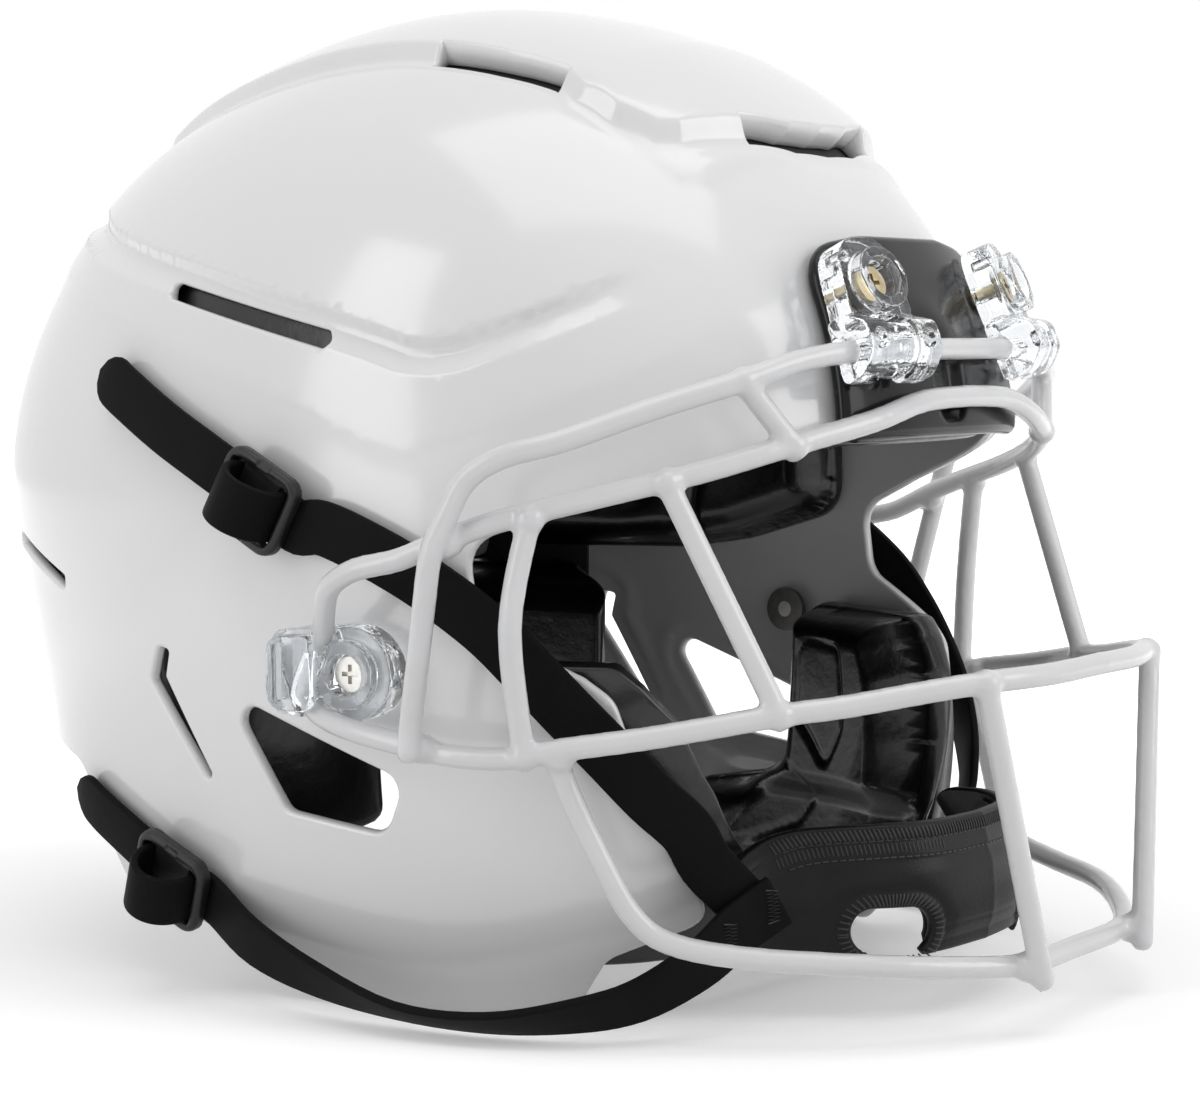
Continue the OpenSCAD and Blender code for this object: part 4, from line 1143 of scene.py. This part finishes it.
def tongue(stations, reach=7.5):
    """Gives the last stations of a strap a round end."""
    s = np.asarray(stations, float)
    left = np.r_[np.cumsum(np.linalg.norm(np.diff(s[:, :3], axis=0), axis=1)[::-1])[::-1], 0]
    s[:, 6] = np.sqrt(np.clip(1 - (1 - np.minimum(left / reach, 1)) ** 2, 0.004, 1))
    return s


def tail(q, way, over):
    """A free end: up through the front slot, over the buckle, down the back slot and along."""
    loop = [by_snap(q, way, SLOT_S, STRAP_LIFT + STRAP_T / 2 + 0.7, 90)]
    loop += [by_snap(q, way, SLOT_S * math.cos(a), BUCKLE_TOP + 10 * math.sin(a), 90 - math.degrees(a))
             for a in np.radians(np.arange(0, 181, 15))]
    loop += [by_snap(q, way, -SLOT_S, BUCKLE_Z + 0.6, -90),
             by_snap(q, way, -SLOT_S - 1.1, STRAP_LIFT + 0.3, -45),
             by_snap(q, way, -SLOT_S - 5, STRAP_LIFT)]
    return tongue(smooth_path(loop + [laid(*p) for p in over], 4))


print("a short band has", len(band([laid(0, 0, 3), laid(9, 0, 3)])[1]), "faces")

# %% Courses of the straps and of their free ends
upper_over = [(-31, -9), (-46, -14.5), (-62, -22.5), (-78, -33.5), (-89, -44.5), (-98, -55),
              (-107, -66.5), (-114.5, -78), (-120, -87)]
upper = smooth_path(
    [by_snap(upper_stud, UPPER_WAY, s, STRAP_LIFT) for s in (7.9, 14.7)]
    + [laid(y, z, 3.4) for y, z in upper_over]
    + [[76.5, -125, -97, 0.64, -0.75, -0.12, 1], [70, -128.6, -104.6, *WING, 1],
       on_wing(64, -111, 0), on_wing(61, -116.5, 0)], 5)
lower = smooth_path(
    [by_snap(lower_stud, LOWER_WAY, s, STRAP_LIFT) for s in (7.9, 14.7)]
    + [[120, -6, -124, 0.95, -0.1, -0.3, 1], [122.5, -30, -131, 0.8, -0.1, -0.6, 1],
       [123, -60, -136.5, 0.45, -0.15, -0.88, 1], [119, -86, -137, 0.4, -0.3, -0.87, 1],
       [110, -107, -134, 0.5, -0.5, -0.7, 1], [98, -118.5, -130.5, 0.6, -0.6, -0.5, 1],
       [84, -127.5, -123, 0.6, -0.75, -0.3, 1], [73, -132, -115.5, 0.55, -0.82, -0.1, 1],
       on_wing(64, -112, 1), on_wing(58, -108, 1)], 5)
upper_tail = tail(upper_stud, UPPER_WAY, [(10, 9, 3.7), (26, 17, 3.4), (42, 25.5, 3.2),
                                          (48, 28.8, 3.2), (54, 32.2, 3.2)])
lower_tail = tail(lower_stud, LOWER_WAY, [(43, -100.5, 3.6), (56, -94, 3.4), (62, -91, 3.2),
                                          (68, -87.8, 3.2)])
print("upper strap", round(float(np.linalg.norm(np.diff(upper[:, :3], axis=0), axis=1).sum())), "mm")

# %% [markdown]
# ## Webbing
# The webbing is woven and then coated, so the weave only shows as a fine ripple. Two crossed waves
# under noise make that ripple. Rubbed places are a shade lighter and less dull.

# %% Strap finish and the straps
webbing = Finish("strap_coated_webbing", IOR=1.45, Specular_IOR_Level=0.06)
rub = webbing.noise(28, 4, 0.6)
weave = 0
for direction in "XZ":
    weave = weave + webbing.node("ShaderNodeTexWave", {"bands_direction": direction},
                                 Vector=webbing.place(), Scale=420, Distortion=0.6)
webbing.set(Base_Color=webbing.between(rub, (0.004, 0.004, 0.0045), (0.009, 0.009, 0.0095)),
            Roughness=0.46 + 0.22 * rub)
webbing.bump(0.12 * weave + webbing.noise(900, 3, 0.7), 0.00007)
for name, stations, body in (
        ("upper_strap", upper, "helmet"), ("lower_strap", lower, "helmet"),
        ("upper_tail", upper_tail, "upper_snap_left_set"),
        ("lower_tail", lower_tail, "lower_snap_left_set")):
    verts, faces = band(stations)
    both_sides(new_object(f"{name}_left_webbing", to_frame(verts), faces), webbing, body,
               [f"{name}_left"])

# %% [markdown]
# ## Buckles
# Each buckle is a nylon moulding: a plate with two slots inside a raised round rim, with a thumb notch
# in the long sides. It is carved like the clips, and its finish is satin with fine scuffs.

# %% Buckle finish
nylon = Finish("buckle_black_nylon", IOR=1.5, Specular_IOR_Level=0.35)
scuff = nylon.noise(160, 4, 0.65)
nylon.set(Base_Color=nylon.between(scuff, (0.008, 0.008, 0.009), (0.018, 0.018, 0.019)),
          Roughness=0.3 + 0.22 * scuff)
nylon.bump(nylon.noise(700, 3, 0.6), 0.00008)
print("finish", nylon.material.name)

# %% The buckles
RIM_Z, RIM_RADIUS = 7.0, 1.75
plate = oblong(-13.2, 13.2, -11.7, 11.7, 4.8)
rim = rounded([(11.7, 10.2, 3.9), (-11.7, 10.2, 3.9), (-11.7, -10.2, 3.9), (11.7, -10.2, 3.9)], 8)
rim = np.c_[np.concatenate([rim, rim[:2]]), np.full(len(rim) + 2, RIM_Z)]
for name, stud, way in (("upper", upper_stud, UPPER_WAY), ("lower", lower_stud, LOWER_WAY)):
    buckle = carved(
        f"{name}_buckle_left_frame",
        [prism(plate, BUCKLE_Z + 0.1, 7.3), tube(rim, RIM_RADIUS)],
        [prism(oblong(s - 1.9, s + 1.9, -8.5, 8.5, 0.8), 0, THROUGH) for s in (SLOT_S, -SLOT_S)]
        + [disc(0, 0, 4.6, 0, 6.2)]
        + [prism(oblong(-2.4, 2.4, y - 1.3, y + 1.3, 0.5), 7.9, THROUGH) for y in (-11.4, 11.4)],
        seat(stud, way), 0.36)
    both_sides(buckle, nylon, f"{name}_snap_left_set", [f"{name}_buckle_left"])

# %% [markdown]
# ## Chin cup
# The cup is soft foam in a skin that looks like black leather. It is cut flat, bound along its top by
# two folded bands, and has an oval hole low on each side with an overlocked edge. The sheet below is
# measured along the cup and up it in millimetres, as the cutter's pattern is, and then bent.

# %% The bent sheet
cup_half = smooth_path(np.array(CUP, float), 12)
cup_plan = np.concatenate([(cup_half * [-1, 1])[:0:-1], cup_half])
cup_way = unit(np.gradient(cup_plan, axis=0))
cup_share = np.linspace(0, 1, len(cup_plan))
cup_run = np.r_[0, np.cumsum(np.linalg.norm(np.diff(cup_plan, axis=0), axis=1))]
cup_run -= cup_run[-1] / 2
CUP_END, CUP_HALF = cup_run[-1], 18.0


def cup_tall(run):
    """Half of the cup's height at a distance along it, and how far it is lifted there."""
    side = (2 * np.interp(run, cup_run, cup_share) - 1) ** 2
    return CUP_HALF + 6 * side * (1 - side) - 8.5 * side**2, 5 * (1 - side)


def cup_at(p, off=0.0):
    """Point of the cup: p is (along, up) in millimetres, off is outward from its outer face."""
    run, up = p[..., 0], p[..., 1]
    x, y = (np.interp(run, cup_run, cup_plan[:, k]) for k in range(2))
    nx, ny = (np.interp(run, cup_run, v) for v in (-cup_way[:, 1], cup_way[:, 0]))
    tall, lift = cup_tall(run)
    rise = lift + up / CUP_HALF * tall
    qx, qy = x + off * nx, y + off * ny
    return np.stack([qx, SWING_Y - np.sqrt(np.maximum(qy**2 - rise**2, 1)), SWING_Z + rise], -1)


print("the cup's sheet is", round(2 * CUP_END), "mm long and", 2 * CUP_HALF, "mm tall")

# %% Holes and folds of the cup
HOLE_AT, HOLE_LONG, HOLE_RADIUS, HOLE_TILT = (34, -50, -6), 5.5, 6, 50


def hole_distance(q):
    """Distance from the two oval holes of the cup."""
    best = np.full(q.shape[:-1], UNSEEN)
    for s in (-1, 1):
        d = q - [s * HOLE_AT[0], SWING_Y + HOLE_AT[1], SWING_Z + HOLE_AT[2]]
        t = math.radians(HOLE_TILT * s)
        along = d[..., 0] * math.cos(t) + d[..., 1] * math.sin(t)
        over = np.maximum(np.abs(along) - HOLE_LONG, 0)
        best = np.minimum(best, np.hypot(over, d[..., 2]) - HOLE_RADIUS)
    return best


cup_frame = rounded([(CUP_END, CUP_HALF, 3), (-CUP_END, CUP_HALF, 3), (-CUP_END, -CUP_HALF, 5),
                     (CUP_END, -CUP_HALF, 5)])


def cup_kept(p):
    return np.minimum(-polygon_distance(p, cup_frame), hole_distance(cup_at(p))) - 1.3


def cup_relief(p):
    """Bound bands along the top, the rolled rims of the holes, a puffed middle and a seamed hem."""
    tall, _ = cup_tall(p[..., 0])
    down = (CUP_HALF - p[..., 1]) / CUP_HALF * tall
    low = 2 * tall - down
    rim = hole_distance(cup_at(p))
    roll = np.sqrt(np.clip(1 - ((down - 2.2) / 2.4) ** 2, 0, 1))
    second = ramp(down, 4.4, 5.0) * ramp(down, 9.6, 8.9)
    hem = np.sqrt(np.clip(1 - ((rim - 1.9) / 2.3) ** 2, 0, 1))
    puff = ramp(rim, 3, 9) * ramp(down, 9, 14) * ramp(low, 3, 8)
    seams = (bell(low, 3.6, 0.45) + bell(low, 7.4, 0.45)) * ramp(rim, 3, 5)
    return 0.95 * roll + 0.45 * second + 0.75 * hem + 0.8 * puff - 0.35 * seams - 0.6


print("from the cup's middle to a hole", hole_distance(cup_at(np.zeros(2))).round(1), "mm")

# %% The cup
CUP_THICK = 3.7
points, tris = sheet((-CUP_END - 1, CUP_END + 1), (-CUP_HALF - 1, CUP_HALF + 1), 0.62)
verts, tris = moulding(points, tris, cup_kept, lambda p: cup_at(p, cup_relief(p)),
                       lambda p: cup_at(p, -CUP_THICK), 1.2)
cup = new_object("chin_cup_skin", to_frame(verts), tris)
print("cup", len(verts), "points")

# %% [markdown]
# ## Leather of the cup
# A pressed grain is a net of fine cells. A Voronoi texture's distance to its edges draws that net as
# height, and slower noise bends it a little, so the gloss breaks up as on a worn skin.

# %% Leather finish
cup_leather = Finish("cup_black_leather", IOR=1.45, Coat_Roughness=0.3, Specular_IOR_Level=0.22)
grain = cup_leather.node("ShaderNodeTexVoronoi", {"feature": "DISTANCE_TO_EDGE"},
                         Vector=cup_leather.place(), Scale=900)
sheen = cup_leather.noise(45, 4, 0.6)
cup_leather.set(Base_Color=cup_leather.between(sheen, (0.002, 0.002, 0.002), (0.006, 0.006, 0.006)),
                Roughness=0.34 + 0.2 * sheen, Coat_Weight=0.03 + 0.08 * sheen)
cup_leather.bump(grain + 0.8 * cup_leather.noise(160, 4, 0.6), 0.00011)
wear(cup, cup_leather, "cup_set", ["chin_cup"])

# %% [markdown]
# ## Lining of the cup
# A thin foam pad lines the cup where the chin rests. It is a sheet on the same pattern, with the same
# holes and a crowned face. Open foam is matt and full of pores, which very fine noise gives.

# %% Foam finish
foam_skin = Finish("liner_foam_skin", IOR=1.45)
pore = foam_skin.noise(1400, 2, 0.6)
foam_skin.set(Base_Color=foam_skin.between(foam_skin.noise(60, 3), (0.014, 0.014, 0.015),
                                           (0.03, 0.03, 0.032)), Roughness=0.6 + 0.2 * pore)
foam_skin.bump(pore, 0.00012)
print("finish", foam_skin.material.name)

# %% The lining
LINING_OFF, LINING_THICK = -4.8, 3.1


def crown(depth, reach, low=0.35):
    """Share of the thickness at a distance inside a cushion's edge, round at the edge."""
    s = np.clip(depth / reach, 0, 1)
    return low + (1 - low) * np.sqrt(1 - (1 - s) ** 2)


def lining_kept(p):
    return np.minimum(-polygon_distance(p, lining_frame), hole_distance(cup_at(p)) - 0.6) - 1.2


lining_end = CUP_END * 0.6
lining_frame = oblong(-lining_end, lining_end, -15.5, 15.5, 5)
points, tris = sheet((-lining_end - 1, lining_end + 1), (-16.5, 16.5), 1.1)
verts, tris = moulding(
    points, tris, lining_kept, lambda p: cup_at(p, LINING_OFF),
    lambda p: cup_at(p, LINING_OFF - LINING_THICK * crown(lining_kept(p), 5, 0.3)), 1.0)
wear(new_object("chin_cup_lining_pad", to_frame(verts), tris), foam_skin, "cup_set",
     ["chin_cup_liner"], 0.7)

# %% [markdown]
# ## Stitching
# Threads tell sewn goods from moulded ones. A bump map of stitches turns flat at the rim, so each
# thread is a short raised strand. Overlock threads wrap the top band and the rims of the holes,
# dashes run below, and zig-zag bar tacks hold the straps on the wings of the cup.

# %% Threads along the top
threads = []


def strand(points, radius=0.26):
    threads.append(tube(points, radius, 5))


def on_cup(run, up, lift=0.12):
    p = np.stack([np.asarray(run, float), np.asarray(up, float)], -1)
    return cup_at(p, cup_relief(p) + lift)


def below_top(run, down):
    """The sheet's height at a distance below the cup's top edge."""
    return CUP_HALF - np.asarray(down) / float(cup_tall(np.array(run))[0]) * CUP_HALF


for run in np.arange(-CUP_END * 0.83, CUP_END * 0.83, 1.25):
    strand(on_cup(run + np.array([0, 0.2, 0.5]), below_top(run, [1.4, 2.6, 4.1])))
    if abs(run) > 20:
        strand(on_cup(run + np.zeros(3), below_top(run, [5.3, 6.5, 7.7]), 0.02), 0.2)
for run in np.arange(-CUP_END * 0.8, CUP_END * 0.8, 2.3):
    for down in (4.55, 9.0):
        strand(on_cup(run + np.array([0, 0.75, 1.5]), below_top(run, [down] * 3), 0.05))
print("threads along the top", len(threads))

# %% Threads round the holes
run, up = np.meshgrid(np.linspace(12, 62, 260), np.linspace(-16, 10, 140), indexing="ij")
in_hole = hole_distance(cup_at(np.stack([run, up], -1))) < 0
centre = np.array([run[in_hole].mean(), up[in_hole].mean()])
for turn in np.radians(np.arange(0, 360, 6.5)):
    ray = centre + np.linspace(0, 26, 140)[:, None] * np.array([math.cos(turn), math.sin(turn)])
    far = hole_distance(cup_at(ray))
    ends = np.array([ray[int(np.argmax(far > d))] for d in (1.0, 2.0, 3.0, 3.9)])
    for side in (1, -1):
        strand(on_cup(side * ends[:, 0] + np.array([0, 0.12, 0.24, 0.36]), ends[:, 1], 0.1))
print("with the threads round the holes", len(threads))

# %% Bar tacks and the thread's finish
TACK_LONG, TACK_WIDE, TACK_TURNS = 9.0, 3.4, 9


def tack(point, face, along):
    """A bar tack: a zig-zag of thread on a strap."""
    a = unit(along - (along @ face) * face)
    k = np.arange(2 * TACK_TURNS + 1)
    line = (point + np.outer((k / (2 * TACK_TURNS) - 0.5) * TACK_LONG, a)
            + np.outer(((k % 2) - 0.5) * TACK_WIDE, np.cross(face, a)))
    strand(line + 0.1 * face, 0.3)


for back in (3, 12):
    face = unit(lower[-back, 3:6])
    tack(lower[-back, :3] + STRAP_T / 2 * lower[-back, 3:6], face, np.array([0.1, 0, 1.0]))
    threads.append(mirrored(threads[-1]))
thread = Finish("thread_black_polyester", Roughness=0.55)
thread.set(Base_Color=thread.between(thread.noise(500, 2), (0.012, 0.012, 0.012), (0.04, 0.04, 0.04)))
verts, faces = joined(threads)
wear(new_object("chin_cup_stitching", to_frame(verts), faces), thread, "cup_set")

# %% [markdown]
# ## Vinyl of the pads
# The pads are foam in glossy black vinyl, formed under heat. The film wrinkles over its foam, so broad
# shallow bumps and finer crinkles both show in its gloss.

# %% Vinyl finish
vinyl = Finish("pad_black_vinyl", IOR=1.5, Coat_Roughness=0.12, Specular_IOR_Level=0.35)
film = vinyl.noise(40, 4, 0.6)
crinkle = vinyl.noise(220, 3, 0.6)
vinyl.set(Base_Color=vinyl.between(film, (0.003, 0.003, 0.004), (0.008, 0.008, 0.009)),
          Roughness=0.24 + 0.2 * film, Coat_Weight=0.2 + 0.3 * film)
vinyl.bump(0.5 * crinkle + vinyl.noise(28, 2), 0.0006)
print("finish", vinyl.material.name)

# %% [markdown]
# ## Jaw pads
# The jaw pads fill the flaps and slope back towards the inside. Formed pads have round edges, a
# crowned face and recessed panels, and they lie on the shell. One helper makes every pad of the
# liner: a flat outline, a back that follows the skin, and a front that is a height over it.

# %% Padded pieces
SEAT_OFF = -WALL - 1.7
PAD_LIP = 1.5


def side_seat(p):
    return on_side(p[:, 0], p[:, 1], SEAT_OFF)


def pad_sheet(name, frame_of, spread, step, back, front):
    """A pad with a flat outline; front takes points and their distance inside the outline."""
    def inside(p):
        return -polygon_distance(p, frame_of) - PAD_LIP
    points, tris = sheet(*spread, step)
    verts, tris = moulding(points, tris, inside, back, lambda p: front(p, inside(p)), PAD_LIP, steps=8)
    return new_object(name, to_frame(verts), tris)


print("pads sit", -SEAT_OFF, "mm inside the skin")

# %% The jaw pads
JAW_THICK, JAW_LEAN = 33, 17
JAW_FRONT = [(-128, -119), (-118, -122), (-100, -126), (-80, -124), (-60, -119), (-50, -112),
             (-44, -106)]
jaw_frame = rounded([(y, z, 5) for z, y in JAW_FRONT]
                    + [(-57, -43, 6), (-56, -90, 6), (-40, -99, 8), (-12, -104, 6), (-12, -128, 6)])
PANELS = [rounded([(-58, -89, 5), (-74, -99, 5), (-66, -111, 5), (-38, -122, 3), (-36, -117, 3)]),
          rounded([(-34, -106, 4), (-20, -108, 4), (-20, -122, 4), (-31, -114, 4)]),
          rounded([(-66, -52, 5), (-88, -54, 5), (-94, -78, 7), (-82, -92, 5), (-66, -76, 5)])]


def jaw_front(p, depth):
    c = crown(depth, 9)
    panel = np.min([polygon_distance(p, outline) for outline in PANELS], axis=0)
    dip = 1.3 * bell(panel, 0, 1.1) + 0.8 * ramp(panel, 0.5, -2)
    q = on_side(p[:, 0] + JAW_LEAN * ramp(p[:, 0], -70, -124) * c, p[:, 1], SEAT_OFF)
    low = 0.75 + 0.25 * ramp(p[:, 1], -104, -94)
    return q - np.stack([JAW_THICK * c * low - dip * ramp(depth, 2, 6), 0 * c, 0 * c], -1)


jaw = pad_sheet("jaw_pad_left_vinyl", jaw_frame, ((-130, -8), (-131, -40)), 1.2, side_seat, jaw_front)
both_sides(jaw, vinyl, nodes=["jaw_pad_left"], fill=0.85)

# %% [markdown]
# ## Pads at the sides and behind the ears
# The side pads are split into cells by grooves, so that they bend round the head. The pads behind the
# ears bulge far in. They are wedges that hold the back of the head, and they close the view through
# the ear openings.

# %% Side and nape pads
SIDE_THICK, SIDE_GROOVE = 16.5, 4
NAPE_FOOT, NAPE_THICK, NAPE_LEAN = 6, 47, 52


def cells(p, lines, width):
    """Grooves between the cells of a pad."""
    near = np.min([np.ravel(line_distance(p, np.array(line, float))[0]) for line in lines], axis=0)
    return bell(near, 0, width)


def inward(q, thick):
    return q - normal(q) * thick[:, None]


def side_front(p, depth):
    groove = SIDE_GROOVE * cells(p, [[(-14, -40), (-14, 90)], [(24, -40), (24, 90)]], 2.2)
    return inward(side_seat(p), SIDE_THICK * crown(depth, 11) - groove * ramp(depth, 0, 4))


def nape_front(p, depth):
    """The pad behind the ear bulges far in and leans forward."""
    c = crown(depth, 12, 0.2)
    q = on_side(p[:, 0] - NAPE_LEAN * ramp(p[:, 0], 90, 50) * c, p[:, 1], SEAT_OFF)
    return q - np.outer(NAPE_FOOT + NAPE_THICK * c * ramp(p[:, 0], 118, 68), [1, 0, 0])


SIDE_FRAME = [(-64, 72, 16), (-65, -14, 12), (-30, -24, 8), (-4, -28, 8), (60, -29, 6), (60, 72, 16)]
NAPE_FRAME = [(38, -34, 7), (38, -107, 8), (58, -107, 8), (74, -80, 8), (100, -74, 8), (100, -34, 8)]
side_pad = pad_sheet("side_pad_left_vinyl", rounded(SIDE_FRAME), ((-68, 64), (-32, 76)), 1.6,
                     side_seat, side_front)
both_sides(side_pad, vinyl, nodes=["side_pad_left"], fill=0.8)
nape_pad = pad_sheet("nape_pad_left_vinyl", rounded(NAPE_FRAME), ((34, 104), (-110, -30)), 1.6,
                     side_seat, nape_front)
both_sides(nape_pad, vinyl, fill=0.8)

# %% [markdown]
# ## Pads at the brow, the crown and the back
# These three cross the middle of the head, so each is made whole. The brow pad is laid out in the
# front view, the other two on a plane square to the way they face, and all three have cell grooves.

# %% Brow pad
BROW_FRAME = [(64, 13, 7), (62, 50, 20), (52, 92, 16), (-52, 92, 16), (-62, 50, 20), (-64, 13, 7)]
BROW_LINES = [[(-22, 0), (-22, 99)], [(22, 0), (22, 99)]]


def brow_seat(p):
    return on_front(p[:, 0], p[:, 1], SEAT_OFF)


def brow_front(p, depth):
    groove = 3 * cells(p, BROW_LINES, 2)
    return inward(brow_seat(p), SIDE_THICK * crown(depth, 9) - groove * ramp(depth, 0, 4))


brow_pad = pad_sheet("brow_pad_vinyl", rounded(BROW_FRAME), ((-68, 68), (8, 96)), 1.6, brow_seat,
                     brow_front)
wear(brow_pad, vinyl, nodes=["brow_pad"], fill=0.85)

# %% Crown and back pads
ARCHED = (("crown", 2, [(44, -76, 14), (44, 60, 14), (-44, 60, 14), (-44, -76, 14)],
           [[(-60, -8), (60, -8)], [(0, -90), (0, 80)]]),
          ("back", 1, [(70, -50, 14), (66, 118, 14), (-66, 118, 14), (-70, -50, 14)],
           [[(-90, 30), (90, 30)], [(-24, -60), (-24, 130)], [(24, -60), (24, 130)]]))
PLANE_AT, ARCHED_THICK = 140.0, 16


def dome(p, axis):
    """Points of the seat from a plane square to an axis, drawn in towards the head centre."""
    far = np.full(len(p), PLANE_AT)
    way = [p[:, 0], p[:, 1], far] if axis == 2 else [p[:, 0], far, p[:, 1]]
    return hit(np.zeros(3), unit(np.stack(way, -1)), SEAT_OFF)


for name, axis, frame_of, lines in ARCHED:
    low, high = np.min(frame_of, 0)[:2] - 3, np.max(frame_of, 0)[:2] + 3
    pad = pad_sheet(f"{name}_pad_vinyl", rounded(frame_of), tuple(zip(low, high)), 2.2,
                    lambda p: dome(p, axis),
                    lambda p, d: inward(dome(p, axis), ARCHED_THICK * crown(d, 11)
                                        - SIDE_GROOVE * cells(p, lines, 2.4) * ramp(d, 0, 4)))
    wear(pad, vinyl, nodes=[f"{name}_pad"], fill=0.8)

# %% [markdown]
# ## Dark sheet of painted shade
# A thin black sheet lines the rear and the crown of the shell behind the pads. It is painted shade,
# put in so that the vents look dark from outside.
# It is the shell's own skin again, a little further in, and it stops short of the side openings.

# %% Painted shade sheet behind the pads
CROWN_LEVEL, REAR_START, REAR_SLANT, EDGE_GAP = 84, 38, 0.25, 3


def shade_sheet_kept(p):
    rear = p[:, 1] - REAR_START + REAR_SLANT * np.maximum(p[:, 2], 0)
    return np.where(p[:, 2] > CROWN_LEVEL, p[:, 2] - CROWN_LEVEL,
                    np.minimum(kept(p) - EDGE_GAP, rear))


points, tris = skin_grid(46)
verts, tris = moulding(points, tris, shade_sheet_kept, lambda p: p - (WALL + 0.25) * normal(p),
                       lambda p: p - (WALL + 1.2) * normal(p), 0.2, from_head, steps=3)
# a dark sheet of painted shade inside the shell, in the dark foam finish
wear(new_object("rear_painted_shade_sheet", to_frame(verts), tris), foam_skin)

# %% [markdown]
# ## Floor
# The object stands on a white sweep. More lamps would wash out the shell, so the paper glows a little
# instead, and only for rays that look at it: from the camera, from gloss and through clear plastic.
# It glows less near the middle, where the object's shadow falls.

# %% Paper
FLOOR_SIZE, FLOOR_Z = 4, -0.0006
SEEN_BY = ("Is Camera Ray", "Is Glossy Ray", "Is Transmission Ray")
paper = Finish("backdrop_paper", Base_Color=(0.86, 0.86, 0.86), Roughness=0.9, Emission_Strength=1.0)
spread = paper.node("ShaderNodeVectorMath", {"operation": "LENGTH"}, paper.place(), output="Value")
seen = 0
for ray in SEEN_BY:
    seen = seen + paper.node("ShaderNodeLightPath", {}, output=ray)
share = paper.node("ShaderNodeMapRange", {}, Value=spread, From_Min=0.25, From_Max=1.1)
paper.set(Emission_Color=paper.between((0.32 + 0.8 * share) * seen, (0, 0, 0), (1, 1, 1)))
corners = [(x * FLOOR_SIZE, y * FLOOR_SIZE, FLOOR_Z) for x, y in ((-1, -1), (1, -1), (1, 1), (-1, 1))]
floor = new_object("studio_floor", corners, [(0, 1, 2, 3)], smooth=False)
floor.data.materials.append(paper.material)
print("floor", 2 * FLOOR_SIZE, "m wide")

# %% [markdown]
# ## World
# The world lights the object softly from all sides, and shows white to the same three kinds of ray.

# %% Two backgrounds, mixed by the kind of ray
ROOM_LIGHT, PLAIN_WHITE = 0.49, 1.0
world = bpy.data.worlds.new("studio_world")
bpy.context.scene.world = world
world.use_nodes = True
tree = world.node_tree
either = tree.nodes.new("ShaderNodeMixShader")
path = tree.nodes.new("ShaderNodeLightPath")
seen = path.outputs[SEEN_BY[0]]
for ray in SEEN_BY[1:]:
    total = tree.nodes.new("ShaderNodeMath")
    tree.links.new(seen, total.inputs[0])
    tree.links.new(path.outputs[ray], total.inputs[1])
    seen = total.outputs[0]
tree.links.new(seen, either.inputs[0])
for socket, background, strength in (
        (either.inputs[1], tree.nodes["Background"], ROOM_LIGHT),
        (either.inputs[2], tree.nodes.new("ShaderNodeBackground"), PLAIN_WHITE)):
    background.inputs["Color"].default_value = (1, 1, 1, 1)
    background.inputs["Strength"].default_value = strength
    tree.links.new(background.outputs[0], socket)
tree.links.new(either.outputs[0], tree.nodes["World Output"].inputs["Surface"])
print("world", ROOM_LIGHT, "for light and", PLAIN_WHITE, "to look at")

# %% [markdown]
# ## Lamps and camera
# Gloss needs something to reflect. Three large soft lamps give long clean reflections and keep the
# shadows soft. The camera stands low in front and to the object's right, with a long lens, so the
# helmet isn't stretched.

# %% Lamps
MIDDLE = (0, 0, 0.14)
LAMPS = {"lamp_over": ((-0.2, -0.2, 1.5), (1.4, 1.0), 6.3),
         "lamp_left": ((-1.5, 0.7, 0.7), (0.5, 1.4), 6),
         "lamp_right": ((0.4, -1.6, 0.8), (1.0, 1.0), 8.5)}
for name, (at, size, power) in LAMPS.items():
    data = bpy.data.lights.new(name, "AREA")
    data.shape, data.size, data.size_y, data.energy = "RECTANGLE", size[0], size[1], power
    lamp = bpy.data.objects.new(name, data)
    bpy.context.scene.collection.objects.link(lamp)
    lamp.location = at
    lamp.rotation_euler = (Vector(MIDDLE) - Vector(at)).to_track_quat("-Z", "Y").to_euler()
    print(name, power, "W")

# %% Camera
CAMERA_AT, CAMERA_LOOK = np.array([-778.3, -530.4, 185.9]) * MM, (0.8316, 0.5509, -0.0696)
SENSOR, LENS = 36, 93.96
camera_data = bpy.data.cameras.new("camera")
camera_data.sensor_width, camera_data.lens = SENSOR, LENS
camera = bpy.data.objects.new("camera", camera_data)
bpy.context.scene.collection.objects.link(camera)
camera.location = CAMERA_AT
camera.rotation_mode = "QUATERNION"
camera.rotation_quaternion = Vector(CAMERA_LOOK).to_track_quat("-Z", "Y")
bpy.context.scene.camera = camera
bpy.context.scene.view_settings.view_transform = "Standard"
print("camera at", CAMERA_AT, "with a", LENS, "mm lens")

# %% [markdown]
